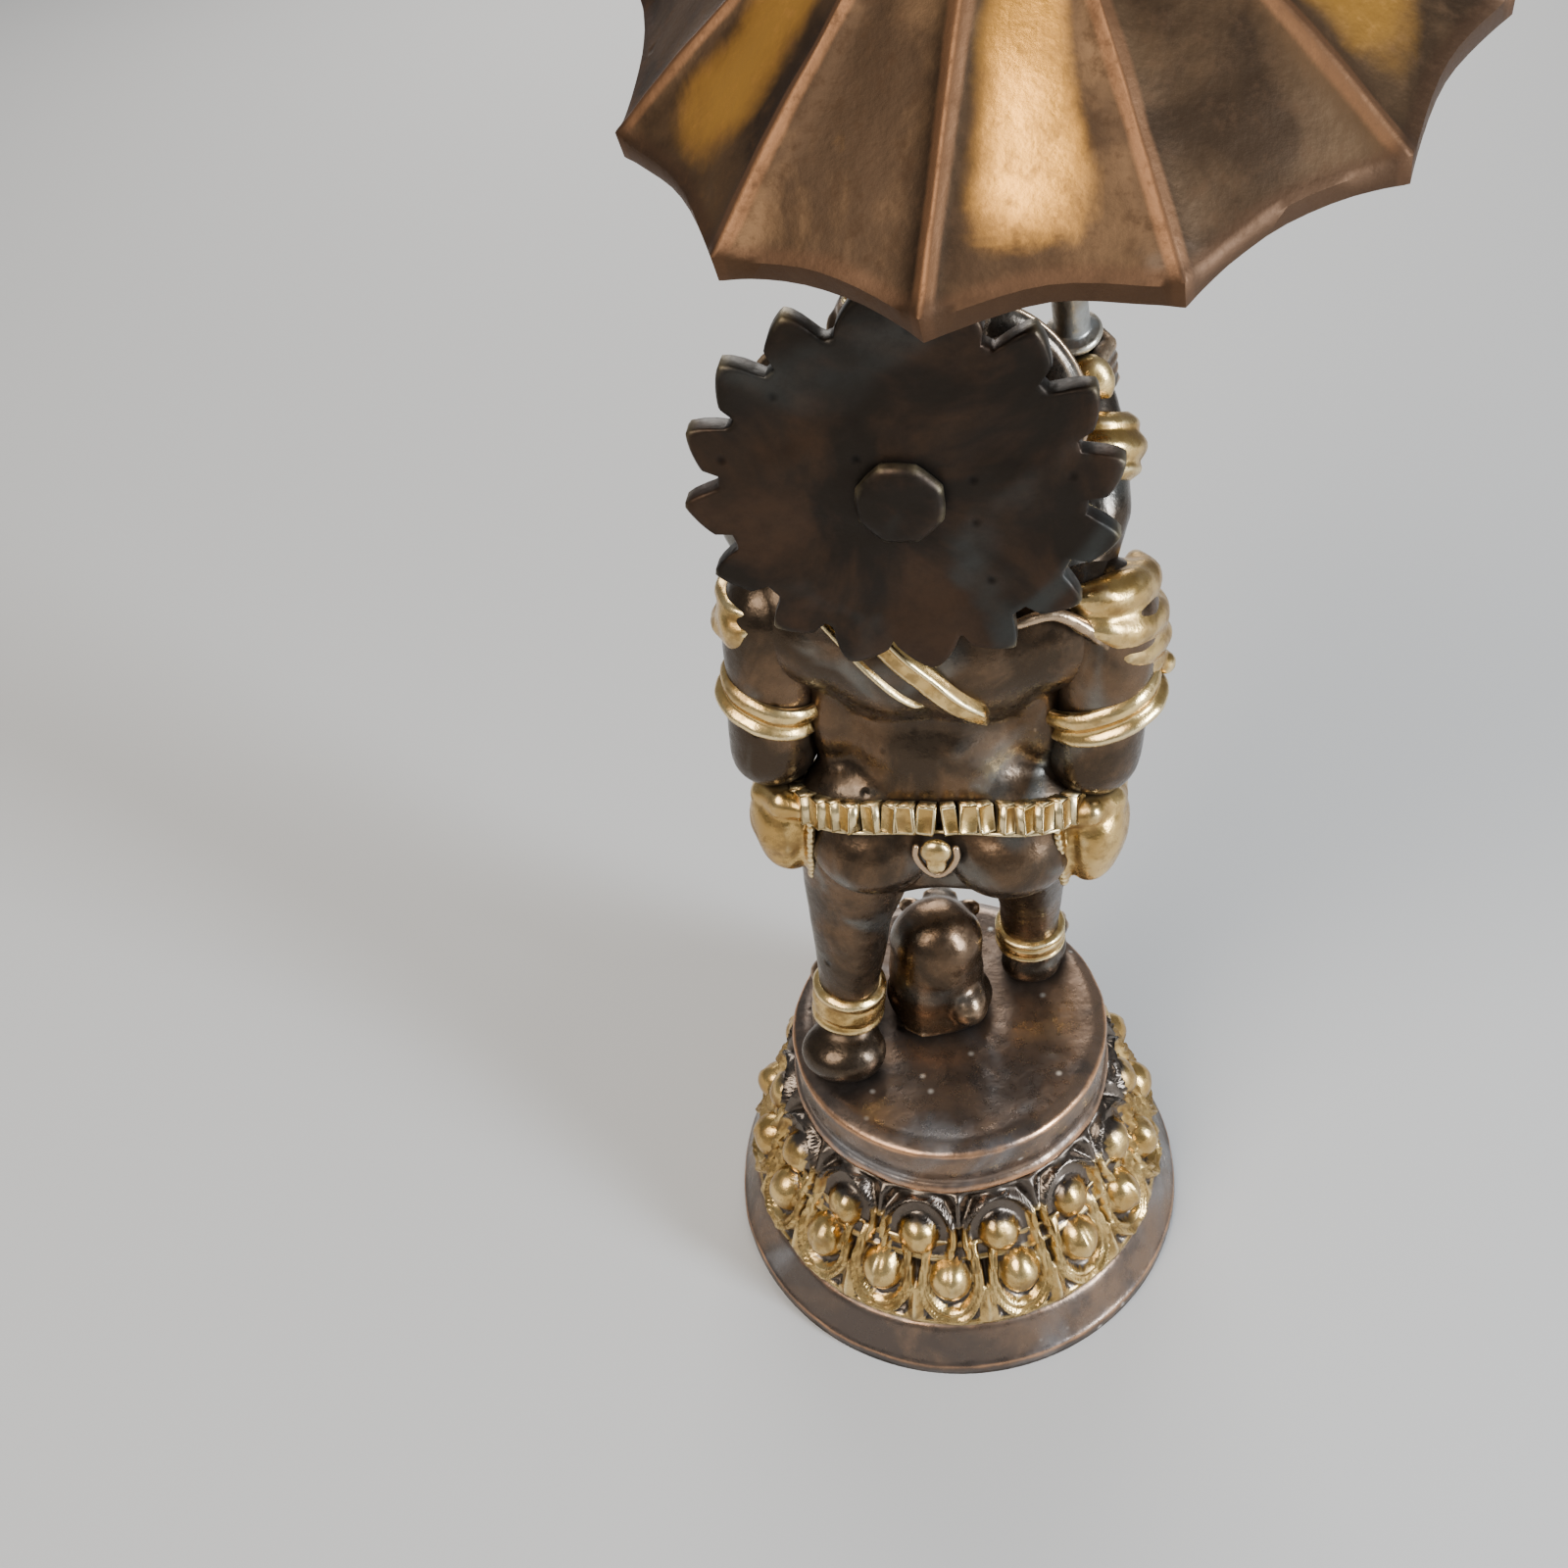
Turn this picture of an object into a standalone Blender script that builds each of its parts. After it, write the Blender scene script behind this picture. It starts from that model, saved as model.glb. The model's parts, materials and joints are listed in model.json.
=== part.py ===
"""Small brass figure of an elephant-headed, four-armed deity under a parasol.

The figure stands on a double lotus pedestal, with a toothed sun disc pegged
behind its head and a loose parasol held in its upper right hand.
Everything is built about the pedestal's axis in metres, +Z up, with the
figure facing -Y, and is then moved so that the whole object's box is centred
over the origin.
"""
import math

import bmesh
import bpy
from mathutils import Matrix, Vector

MM = 0.001
GAP = 0.4 * MM               # play left between two touching pieces
CLEAR = 0.3 * MM             # play of the parasol's staff in the fist

# Pedestal
FOOT_R = 31.0 * MM
PLATFORM_R = 20.7 * MM
PLATFORM_Z = 33.4 * MM
WALL = 2.4 * MM
LOWER_PETALS = 18
UPPER_PETALS = 14
PEDESTAL_SQUASH = 0.965      # the casting is a little out of round
PEDESTAL_SHIFT = -1.1 * MM

# Figure
HEAD = Vector((-2.4, -2.0, 117.0)) * MM

# Sun disc
DISC_CENTRE = Vector((-1.1, 10.4, 119.4)) * MM
DISC_TIP_R = 19.2 * MM
DISC_VALLEY_R = 16.0 * MM
DISC_THICK = 2.2 * MM
DISC_TEETH = 16
DISC_START = 16.5           # angle of one tooth, in degrees

# Parasol
CANOPY_CENTRE = Vector((-12.2, -0.3, 155.7)) * MM
CANOPY_LEAN_X = 5.1
CANOPY_LEAN_Y = 17.7
CANOPY_TIP_R = 33.4 * MM
CANOPY_VALLEY_R = 31.0 * MM
CANOPY_RISE = 19.3 * MM
CANOPY_THICK = 1.1 * MM
CANOPY_RIBS = 12
CANOPY_START = 17.6         # angle of one rib, in degrees
STAFF_R = 1.7 * MM
STAFF_BELOW = 54.0 * MM      # staff's foot, measured down its axis from the canopy's rim plane
STAFF_COLLAR = 36.4 * MM     # its collar's underside, measured the same way

# Shift that centres the whole object's box over the origin
SHIFT = Vector((8.04, 0.312, 0.0)) * MM

COLOURS = {
    "skin": ((0.20, 0.125, 0.085), 0.36, 0.9),
    "gold": ((0.72, 0.50, 0.20), 0.30, 1.0),
    "dark": ((0.085, 0.062, 0.048), 0.42, 0.85),
    "base": ((0.17, 0.11, 0.08), 0.38, 0.9),
    "copper": ((0.46, 0.26, 0.13), 0.34, 0.95),
    "staff": ((0.22, 0.19, 0.16), 0.45, 0.8),
}


def clear_scene():
    for obj in list(bpy.data.objects):
        bpy.data.objects.remove(obj, do_unlink=True)


def new_collection(name):
    collection = bpy.data.collections.new(name)
    bpy.context.scene.collection.children.link(collection)
    return collection


def material(name, look):
    colour, roughness, metallic = COLOURS[look]
    mat = bpy.data.materials.new(name)
    mat.use_nodes = True
    shader = mat.node_tree.nodes["Principled BSDF"]
    shader.inputs["Base Color"].default_value = (*colour, 1.0)
    shader.inputs["Roughness"].default_value = roughness
    shader.inputs["Metallic"].default_value = metallic
    return mat


def add_object(name, bm, look):
    mesh = bpy.data.meshes.new(name)
    bmesh.ops.recalc_face_normals(bm, faces=bm.faces)
    bm.to_mesh(mesh)
    bm.free()
    obj = bpy.data.objects.new(name, mesh)
    PARTS.objects.link(obj)
    obj.data.materials.append(material(name, look))
    mesh.shade_smooth()
    mesh.set_sharp_from_angle(angle=math.radians(50))
    return obj


def bake(obj):
    """Replaces the object's mesh by what its modifiers make of it."""
    graph = bpy.context.evaluated_depsgraph_get()
    mesh = bpy.data.meshes.new_from_object(obj.evaluated_get(graph))
    obj.modifiers.clear()
    obj.data = mesh


def keep_largest(obj):
    """Drops the slivers that a cut leaves loose beside the main body."""
    bm = bmesh.new()
    bm.from_mesh(obj.data)
    bmesh.ops.remove_doubles(bm, verts=bm.verts, dist=0.000002)
    left = set(bm.verts)
    bodies = []
    while left:
        stack = [left.pop()]
        body = set(stack)
        while stack:
            for edge in stack.pop().link_edges:
                for vert in edge.verts:
                    if vert in left:
                        left.remove(vert)
                        body.add(vert)
                        stack.append(vert)
        bodies.append(body)
    bodies.sort(key=len)
    for body in bodies[:-1]:
        bmesh.ops.delete(bm, geom=list(body), context="VERTS")
    bm.to_mesh(obj.data)
    bm.free()


# ---------------------------------------------------------------- soft forms

def ball(centre, radii):
    """An ellipsoid, in millimetres."""
    return [(centre, radii, centre, radii)]


def limb(*joints):
    """A chain of tapered round lengths through (x, y, z, radius) joints, in millimetres."""
    lengths = []
    for (ax, ay, az, ar), (bx, by, bz, br) in zip(joints, joints[1:]):
        lengths.append(((ax, ay, az), (ar, ar, ar), (bx, by, bz), (br, br, br)))
    return lengths


def add_ellipsoid(bm, centre, radii, grow):
    size = Matrix.Diagonal((*[r * MM + grow for r in radii], 1.0))
    place = Matrix.Translation(Vector(centre) * MM) @ size
    bmesh.ops.create_uvsphere(bm, u_segments=20, v_segments=12, radius=1.0, matrix=place)


def add_form(bm, form, grow):
    """Adds one ball, or one limb's length with a ball at each end."""
    start, start_radii, end, end_radii = form
    add_ellipsoid(bm, start, start_radii, grow)
    if start == end:
        return
    add_ellipsoid(bm, end, end_radii, grow)
    along = (Vector(end) - Vector(start)) * MM
    turn = along.to_track_quat("Z", "Y").to_matrix().to_4x4()
    place = Matrix.Translation((Vector(start) + Vector(end)) / 2 * MM) @ turn
    bmesh.ops.create_cone(bm, cap_ends=True, segments=20, radius1=start_radii[0] * MM + grow,
                          radius2=end_radii[0] * MM + grow, depth=along.length, matrix=place)


def melt(name, forms, look, triangles, grow=0.0):
    """Melts balls and limbs into one skin of about so many triangles."""
    bm = bmesh.new()
    for form in forms:
        add_form(bm, form, grow)
    obj = add_object(name, bm, look)
    skin = obj.modifiers.new("skin", "REMESH")
    skin.mode = "VOXEL"
    skin.voxel_size = 0.9 * MM
    bake(obj)
    even = obj.modifiers.new("even", "SMOOTH")
    even.factor = 0.5
    even.iterations = 6
    thin = obj.modifiers.new("thin", "DECIMATE")
    thin.ratio = min(1.0, triangles / (2.0 * len(obj.data.polygons)))
    bake(obj)
    obj.data.shade_smooth()
    return obj


def as_cutter(obj):
    """Moves an object to the cutters, out of the model."""
    PARTS.objects.unlink(obj)
    CUTTERS.objects.link(obj)
    obj.hide_render = True
    obj.display_type = "WIRE"
    return obj


def soft_body(name, forms, look, triangles):
    """A melted body, and the slightly fuller copy of it that cuts its neighbours."""
    CUTTER_OF[name] = as_cutter(melt("cut_" + name, forms, look, 2 * triangles, GAP))
    return melt(name, forms, look, triangles)


def hard_cutter(obj, gap=GAP):
    """A copy of a turned or lofted piece, grown by the gap, that cuts its neighbours."""
    cutter = obj.copy()
    cutter.data = obj.data.copy()
    cutter.name = "cut_" + obj.name
    PARTS.objects.link(cutter)
    grow = cutter.modifiers.new("grow", "DISPLACE")
    grow.mid_level = 0.0
    grow.strength = gap
    CUTTER_OF[obj.name] = as_cutter(cutter)
    return obj


def box_of(obj):
    corners = [vert.co for vert in obj.data.vertices]
    return [(min(c[i] for c in corners), max(c[i] for c in corners)) for i in range(3)]


def near(obj, host, margin=2 * GAP):
    """Whether the two boxes come within the margin of each other."""
    return all(a[0] < b[1] + margin and b[0] < a[1] + margin for a, b in zip(box_of(obj), box_of(host)))


def cut_by(obj, *hosts):
    """Cuts the object back from each host's surface by the gap."""
    for host in hosts:
        cutter = CUTTER_OF[host.name]
        if near(obj, cutter):
            cut = obj.modifiers.new("cut", "BOOLEAN")
            cut.operation = "DIFFERENCE"
            cut.object = cutter
            bake(obj)
    keep_largest(obj)


def cut_under(obj, height):
    """Cuts the object flat at a height, as where a foot meets the platform."""
    bm = bmesh.new()
    bm.from_mesh(obj.data)
    cut = bmesh.ops.bisect_plane(bm, geom=bm.verts[:] + bm.edges[:] + bm.faces[:], dist=0.00001,
                                 plane_co=(0, 0, height), plane_no=(0, 0, -1), clear_outer=True)
    edges = [item for item in cut["geom_cut"] if isinstance(item, bmesh.types.BMEdge)]
    bmesh.ops.holes_fill(bm, edges=edges, sides=0)
    bmesh.ops.triangulate(bm, faces=[face for face in bm.faces if len(face.verts) > 4])
    bm.to_mesh(obj.data)
    bm.free()


def ray_out(host, start, direction):
    """Distance from a point inside the host to its skin, along a direction."""
    hit, place, _, _ = host.ray_cast(start, direction)
    return (place - start).length if hit else 0.0


def band(name, host, centre, axis, outline, look, steps=32):
    """A ring that follows the host's section all round.

    outline lists (along the axis, height over the skin) points in millimetres;
    the ring's inner side keeps the gap to the host.
    """
    axis = Vector(axis).normalized()
    side = axis.cross(Vector((0, -1, 0))).normalized()
    ahead = side.cross(axis)
    centre = Vector(centre) * MM
    low = min(a for a, _ in outline)
    high = max(a for a, _ in outline)
    rows = []
    bm = bmesh.new()
    for i in range(steps):
        outs = []
        for part in (0.0, -0.5, 0.5):
            angle = 2 * math.pi * (i + part) / steps
            outs.append(side * math.cos(angle) + ahead * math.sin(angle))
        levels = [centre + axis * a * MM for a in (low, (low + high) / 2, high)]
        skin = max(ray_out(host, level, out) for level in levels for out in outs)
        row = [bm.verts.new(centre + axis * a * MM + outs[0] * (skin + GAP + h * MM)) for a, h in outline]
        rows.append(row)
    for i, row in enumerate(rows):
        nxt = rows[(i + 1) % steps]
        for j in range(len(row)):
            k = (j + 1) % len(row)
            bm.faces.new((row[j], row[k], nxt[k], nxt[j]))
    return add_object(name, bm, look)


def round_outline(width, height, points=5):
    """A low crowned band's section: a half ellipse standing on its flat."""
    arc = [math.pi * i / (points - 1) for i in range(points)]
    return [(-width / 2 * math.cos(a), height * (0.25 + 0.75 * math.sin(a))) for a in arc] + [
        (width / 2, 0.0), (-width / 2, 0.0)]


def turned(name, profile, look, steps=40, start=Vector((0, 0, 0)), turn=None):
    """A closed turned piece from (radius, height) points in metres, outer side top to bottom."""
    bm = bmesh.new()
    verts = [bm.verts.new((r, 0, z)) for r, z in profile]
    for a, b in zip(verts, verts[1:]):
        bm.edges.new((a, b))
    if profile[0][0] > 0:
        bm.edges.new((verts[-1], verts[0]))
    mesh = bpy.data.meshes.new(name)
    bm.to_mesh(mesh)
    bm.free()
    obj = bpy.data.objects.new(name, mesh)
    PARTS.objects.link(obj)
    obj.data.materials.append(material(name, look))
    screw = obj.modifiers.new("turn", "SCREW")
    screw.steps = steps
    screw.render_steps = steps
    screw.merge_threshold = 0.00001
    screw.use_merge_vertices = True
    bake(obj)
    place = Matrix.Translation(start) @ (turn.to_matrix().to_4x4() if turn else Matrix.Identity(4))
    obj.data.transform(place)
    bm = bmesh.new()
    bm.from_mesh(obj.data)
    bmesh.ops.remove_doubles(bm, verts=bm.verts, dist=0.00001)
    bmesh.ops.recalc_face_normals(bm, faces=bm.faces)
    bm.to_mesh(obj.data)
    bm.free()
    obj.data.shade_smooth()
    obj.data.set_sharp_from_angle(angle=math.radians(35))
    return obj


# ------------------------------------------------------------------ pedestal

def pedestal():
    """Hollow bell: splayed foot, recess for the petal rings, neck and platform."""
    outer = [(0.0, PLATFORM_Z), (PLATFORM_R - 0.8 * MM, PLATFORM_Z), (PLATFORM_R, PLATFORM_Z - 0.8 * MM),
             (20.2 * MM, 26.6 * MM), (20.8 * MM, 25.8 * MM), (20.2 * MM, 24.8 * MM),
             (20.2 * MM, 18.0 * MM), (21.2 * MM, 17.4 * MM), (24.9 * MM, 7.6 * MM), (28.0 * MM, 6.8 * MM),
             (30.4 * MM, 1.8 * MM), (FOOT_R, 1.2 * MM), (FOOT_R, 0.0)]
    inner = [(FOOT_R - WALL, 0.0), (22.2 * MM, 7.0 * MM), (17.8 * MM, 18.0 * MM),
             (17.8 * MM, PLATFORM_Z - WALL), (0.0, PLATFORM_Z - WALL)]
    return turned("pedestal", outer + inner, "base", steps=40)


def petal_ring(name, count, turn, foot, head, swell, wall, rows):
    """A sleeve whose outside swells into a bossed petal at each place round it.

    turn is the angle of one petal's middle, in degrees; foot and head are the
    (radius, height) of its lower and upper edge.
    """
    around = 4 * count
    start = math.radians(turn) - math.pi / count
    bm = bmesh.new()
    columns = []
    for i in range(around):
        angle = start + 2 * math.pi * i / around
        petal = 0.5 - 0.5 * math.cos(2 * math.pi * i / 4)
        column = []
        for row in range(rows + 1):
            t = row / rows
            radius = foot[0] + (head[0] - foot[0]) * t + swell * petal * math.sin(math.pi * t ** 0.8)
            column.append((radius, foot[1] + (head[1] - foot[1]) * t))
        column += [(head[0] - wall, head[1]), (foot[0] - wall, foot[1])]
        columns.append([bm.verts.new((r * math.cos(angle), r * math.sin(angle), z)) for r, z in column])
    for i, column in enumerate(columns):
        nxt = columns[(i + 1) % around]
        for j in range(len(column)):
            k = (j + 1) % len(column)
            bm.faces.new((column[j], nxt[j], nxt[k], column[k]))
    return add_object(name, bm, "gold")


def lower_petals():
    return petal_ring("lotus_petals_lower", LOWER_PETALS, 3.6, (28.0 * MM, 8.0 * MM), (24.2 * MM, 17.0 * MM),
                      2.6 * MM, 1.9 * MM, 5)


def upper_petals():
    return petal_ring("lotus_petals_upper", UPPER_PETALS, 96.6, (23.0 * MM, 18.4 * MM), (21.5 * MM, 24.4 * MM),
                      1.3 * MM, 0.9 * MM, 3)


# -------------------------------------------------------------------- figure

def torso_forms():
    forms = ball((-2, 1.2, 96), (14.4, 8.6, 10.5)) + ball((-2, 0.5, 103), (10.6, 6.6, 5.2))
    for side in (1, -1):
        forms += ball((-2 + side * 14.0, 0.8, 99.5), (5.2, 6.0, 6.0))
        forms += ball((-2 + side * 7.6, 4.2, 76.5), (7.4, 5.6, 5.4))
        forms += ball((-2 + side * 7.4, 5.0, 71), (7.2, 7.0, 6.4))
    forms += ball((-1.8, 0.8, 84), (10.2, 8.4, 9)) + ball((-2, -6, 84.5), (12, 10, 12))
    return forms + ball((-2, 1.5, 74), (13.4, 8.6, 7.2))


def left_leg_forms():
    leg = limb((7.2, 2.2, 68, 7.4), (9.0, 3.8, 57, 4.9), (10.0, 4.8, 46, 3.8), (10.6, 5.4, 37.5, 3.6))
    foot = ball((11.6, 1.0, 35.4), (4.5, 8.0, 2.7)) + ball((12.4, -5.0, 35.0), (4.8, 3.4, 2.1))
    return leg + foot + ball((11.3, 7.6, 36.0), (4.2, 4.0, 3.2))


def right_leg_forms():
    leg = limb((-10.2, -0.6, 68, 7.4), (-11.0, -5.4, 58, 5.0), (-11.2, -8.0, 47, 3.9),
               (-11.2, -8.6, 37.5, 3.4))
    foot = ball((-11.4, -11.0, 35.4), (4.4, 5.6, 2.7)) + ball((-11.8, -14.6, 35.0), (4.4, 3.0, 2.1))
    return leg + foot + ball((-11.2, -7.2, 36.0), (4.1, 3.4, 3.2))


def lower_left_arm_forms():
    arm = limb((13.6, 1.4, 99, 5.6), (14.6, 2.3, 90, 4.9), (15.6, 2.8, 82, 4.8), (12.8, -9.0, 80.4, 3.6),
               (9.8, -16.2, 83.4, 2.6))
    return arm + ball((8.8, -18.6, 84.2), (3.4, 3.2, 2.0))


def lower_right_arm_forms():
    arm = limb((-18.6, 1.4, 98.6, 5.8), (-18.9, 2.3, 90, 5.0), (-18.2, 2.8, 81.8, 4.8),
               (-17.6, -9.4, 80.4, 3.6), (-16.4, -16.2, 83.0, 2.6))
    return arm + ball((-16.0, -17.6, 87.8), (3.0, 1.7, 4.6))


def upper_left_arm_forms():
    arm = limb((11.6, -1.6, 103, 5.0), (15.4, -5.0, 105.5, 4.3), (14.6, -11.0, 109.5, 3.2),
               (13.6, -13.6, 113.5, 2.6))
    return arm + ball((13.2, -14.6, 115.6), (2.9, 2.9, 2.6))


def upper_right_arm_forms():
    arm = limb((-14.8, -1.6, 102.6, 5.0), (-17.0, -4.2, 107, 4.2), (-17.1, -8.2, 112.6, 3.5),
               (-16.2, -11.4, 116, 3.1))
    return arm + ball((-15.7, -12.2, 117.6), (4.1, 4.1, 3.9))


def head_forms():
    forms = ball((-2.4, -2.0, 118.5), (10.4, 10.2, 10.0)) + ball((-2.2, -4.5, 112.5), (9.0, 8.6, 6.5))
    forms += ball((1.4, -5.5, 122.4), (4.6, 4.6, 4.6)) + ball((-6.2, -5.5, 122.4), (4.6, 4.6, 4.6))
    return forms + ball((-2.2, -1.0, 107.8), (6.6, 6.0, 4.0))


def trunk_forms():
    return limb((-2.3, -11.5, 114.5, 4.2), (-2.2, -15.4, 106.5, 3.6), (-1.4, -18.2, 98.5, 3.0),
                (1.4, -19.4, 92.5, 2.5), (5.0, -19.2, 90.6, 2.1), (7.4, -18.9, 92.6, 1.8))


def mouse_forms():
    forms = ball((0.2, -2.2, 40.4), (6.0, 5.8, 8.6)) + ball((0.0, -2.6, 46.8), (6.0, 5.4, 5.6))
    return forms + ball((0.0, -8.0, 45.6), (2.7, 4.2, 2.5)) + ball((0.0, -2.4, 35.0), (6.8, 6.4, 3.2))


def ear(name, side, out, lean, rise):
    """A fan-shaped flap, hollowed a little to the front, rooted on the head's side.

    out and rise place its middle from the head's, in millimetres; lean is in degrees.
    """
    bm = bmesh.new()
    bmesh.ops.create_uvsphere(bm, u_segments=14, v_segments=7, radius=1.0)
    bm.transform(Matrix.Diagonal((6.6 * MM, 1.3 * MM, 9.6 * MM, 1.0)))
    for vert in bm.verts:
        across = vert.co.x / (6.6 * MM)
        vert.co.y += 1.6 * MM * across * across
        vert.co.x += side * 1.2 * MM * (vert.co.z / (9.6 * MM))
    turn = Matrix.Rotation(math.radians(lean), 4, "Y") @ Matrix.Rotation(math.radians(-side * 18), 4, "Z")
    flip = Matrix.Diagonal((side, 1, 1, 1))
    bm.transform(Matrix.Translation(HEAD + Vector((side * out, 3.0, rise)) * MM) @ turn @ flip)
    return add_object(name, bm, "skin")


def tusk(name, side, length):
    bm = bmesh.new()
    place = (Matrix.Translation(HEAD + Vector((side * 5.6, -11.6, -7.0)) * MM)
             @ Matrix.Rotation(math.radians(-side * 16), 4, "Z") @ Matrix.Rotation(math.radians(72), 4, "X"))
    bmesh.ops.create_cone(bm, cap_ends=True, segments=10, radius1=1.5 * MM, radius2=0.7 * MM,
                          depth=length * MM, matrix=place)
    return add_object(name, bm, "gold")


def crown():
    """Stepped basket crown with a bud on top."""
    profile = [(0.0, 20.0), (1.4, 19.2), (1.9, 17.6), (1.2, 16.0), (3.0, 14.8), (4.2, 12.4), (3.8, 11.6),
               (5.4, 10.8), (6.2, 8.0), (5.8, 7.2), (7.4, 6.2), (8.0, 3.4), (7.6, 2.4), (8.6, 1.6),
               (8.6, 0.0), (0.0, 0.0)]
    points = [(r * MM, z * MM) for r, z in profile]
    return turned("crown", points, "skin", steps=18, start=HEAD + Vector((0.4, 0.0, 6.6)) * MM)


def belt_ring(torso):
    """A row of square links over a thin lower rim, all round the hips."""
    outline = [(-1.5, 0.0), (-1.5, 0.9), (-0.9, 1.0), (-0.8, 1.5), (1.3, 1.5), (1.5, 1.2), (1.5, 0.0)]
    return band("belt", torso, (-2.0, 1.0, 75.2), (0.02, -0.36, 1.0), outline, "gold", steps=40)


def leaf_plate(name, centre, size, thick, lean, look):
    """A pointed oval plate hanging down, in millimetres."""
    width, height = size
    bm = bmesh.new()
    count = 12
    ring = []
    for i in range(count):
        angle = 2 * math.pi * i / count
        x = width / 2 * math.cos(angle)
        z = height / 2 * math.sin(angle)
        x *= 1.0 - 0.25 * max(0.0, -z / (height / 2))
        ring.append(bm.verts.new((x * MM, 0, z * MM)))
    face = bm.faces.new(ring)
    made = bmesh.ops.extrude_face_region(bm, geom=[face])
    moved = [item for item in made["geom"] if isinstance(item, bmesh.types.BMVert)]
    bmesh.ops.translate(bm, verts=moved, vec=(0, thick * MM, 0))
    turn = Matrix.Rotation(math.radians(lean), 4, "X")
    bm.transform(Matrix.Translation(Vector(centre) * MM) @ turn)
    return add_object(name, bm, look)


def sash_forms(side):
    """Folded sash end that bulges from the hip and narrows to its hem."""
    middle = -1.6
    pouch = ball((middle + side * 17.4, 1.5, 70.4), (4.0, 5.6, 7.6))
    return pouch + ball((middle + side * 16.4, 2.4, 65.8), (3.2, 4.6, 4.6))


def sun_disc():
    """Flat disc whose leaf-shaped teeth sweep upwards."""
    bm = bmesh.new()
    ring = []
    pitch = 2 * math.pi / DISC_TEETH
    for i in range(DISC_TEETH):
        tip = math.radians(DISC_START) + pitch * i
        sweep = 0.18 * pitch * math.cos(tip)
        for part, radius in ((-0.5, DISC_VALLEY_R), (-0.2, 0.93 * DISC_TIP_R), (0.0, DISC_TIP_R),
                             (0.24, 0.94 * DISC_TIP_R)):
            angle = tip + part * pitch + (sweep if part != -0.5 else 0.0)
            ring.append(bm.verts.new((radius * math.cos(angle), 0, radius * math.sin(angle))))
    face = bm.faces.new(ring)
    made = bmesh.ops.extrude_face_region(bm, geom=[face])
    moved = [item for item in made["geom"] if isinstance(item, bmesh.types.BMVert)]
    bmesh.ops.translate(bm, verts=moved, vec=(0, DISC_THICK, 0))
    bm.transform(Matrix.Translation(DISC_CENTRE))
    bmesh.ops.triangulate(bm, faces=[f for f in bm.faces if len(f.verts) > 4])
    obj = add_object("sun_disc", bm, "dark")
    obj.data.shade_flat()
    return obj


def disc_peg():
    """Eight-sided head outside the disc on a round shank that runs into the head."""
    bm = bmesh.new()
    lay = Matrix.Rotation(math.radians(90), 4, "X")
    back = DISC_CENTRE + Vector((0, DISC_THICK + GAP + 0.6 * MM, 0))
    place = Matrix.Translation(back) @ lay @ Matrix.Rotation(math.radians(22.5), 4, "Z")
    bmesh.ops.create_cone(bm, cap_ends=True, segments=8, radius1=4.0 * MM, radius2=4.2 * MM,
                          depth=1.2 * MM, matrix=place)
    head = add_object("disc_peg", bm, "dark")
    bm = bmesh.new()
    length = 12.0 * MM
    bmesh.ops.create_cone(bm, cap_ends=True, segments=16, radius1=1.6 * MM, radius2=1.6 * MM, depth=length,
                          matrix=Matrix.Translation(back - Vector((0, length / 2, 0))) @ lay)
    shank = as_cutter(add_object("peg_shank", bm, "dark"))
    join = head.modifiers.new("shank", "BOOLEAN")
    join.operation = "UNION"
    join.object = shank
    bake(head)
    keep_largest(head)
    return head


# ------------------------------------------------------------------- parasol

def canopy_turn():
    """Turns +Z onto the parasol's leaning axis."""
    lean = Vector((math.tan(math.radians(CANOPY_LEAN_X)), math.tan(math.radians(CANOPY_LEAN_Y)), 1.0))
    return Vector((0, 0, 1)).rotation_difference(lean)


def canopy_point(angle, reach, under=0.0):
    """A point of the canopy: angle round it, reach from 0 at the crown to 1 at the rim."""
    pitch = 2 * math.pi / CANOPY_RIBS
    between = abs((angle / pitch + 0.5) % 1.0 - 0.5) * 2.0
    rim = CANOPY_TIP_R + (CANOPY_VALLEY_R - CANOPY_TIP_R) * (1 - (1 - between) ** 2)
    radius = rim * reach
    height = CANOPY_RISE * (1 - (radius / CANOPY_TIP_R) ** 1.25)
    sag = 1.0 * MM * reach * (1 - (1 - between) ** 3)
    turned_by = angle + math.radians(CANOPY_START)
    return Vector((radius * math.cos(turned_by), radius * math.sin(turned_by), height - sag - under))


def canopy():
    """Cast sheet, ribbed and scalloped, with a hub that takes the staff."""
    bm = bmesh.new()
    around = 4 * CANOPY_RIBS
    reaches = (0.07, 0.22, 0.42, 0.62, 0.82, 1.0)
    sides = []
    for under in (0.0, CANOPY_THICK):
        rings = []
        for reach in reaches:
            angles = [2 * math.pi * i / around for i in range(around)]
            rings.append([bm.verts.new(canopy_point(angle, reach, under)) for angle in angles])
        sides.append(rings)
    for rings in sides:
        for low, high in zip(rings, rings[1:]):
            for i in range(around):
                k = (i + 1) % around
                bm.faces.new((low[i], low[k], high[k], high[i]))
    for end in (0, -1):
        for i in range(around):
            k = (i + 1) % around
            bm.faces.new((sides[0][end][i], sides[0][end][k], sides[1][end][k], sides[1][end][i]))
    bm.transform(Matrix.Translation(CANOPY_CENTRE) @ canopy_turn().to_matrix().to_4x4())
    return add_object("parasol_canopy", bm, "copper")


def on_axis(name, profile, look, steps=20):
    """A turned piece on the parasol's axis; heights are counted from the rim plane."""
    points = [(r * MM, z * MM) for r, z in profile]
    return turned(name, points, look, steps=steps, start=CANOPY_CENTRE, turn=canopy_turn())


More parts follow.
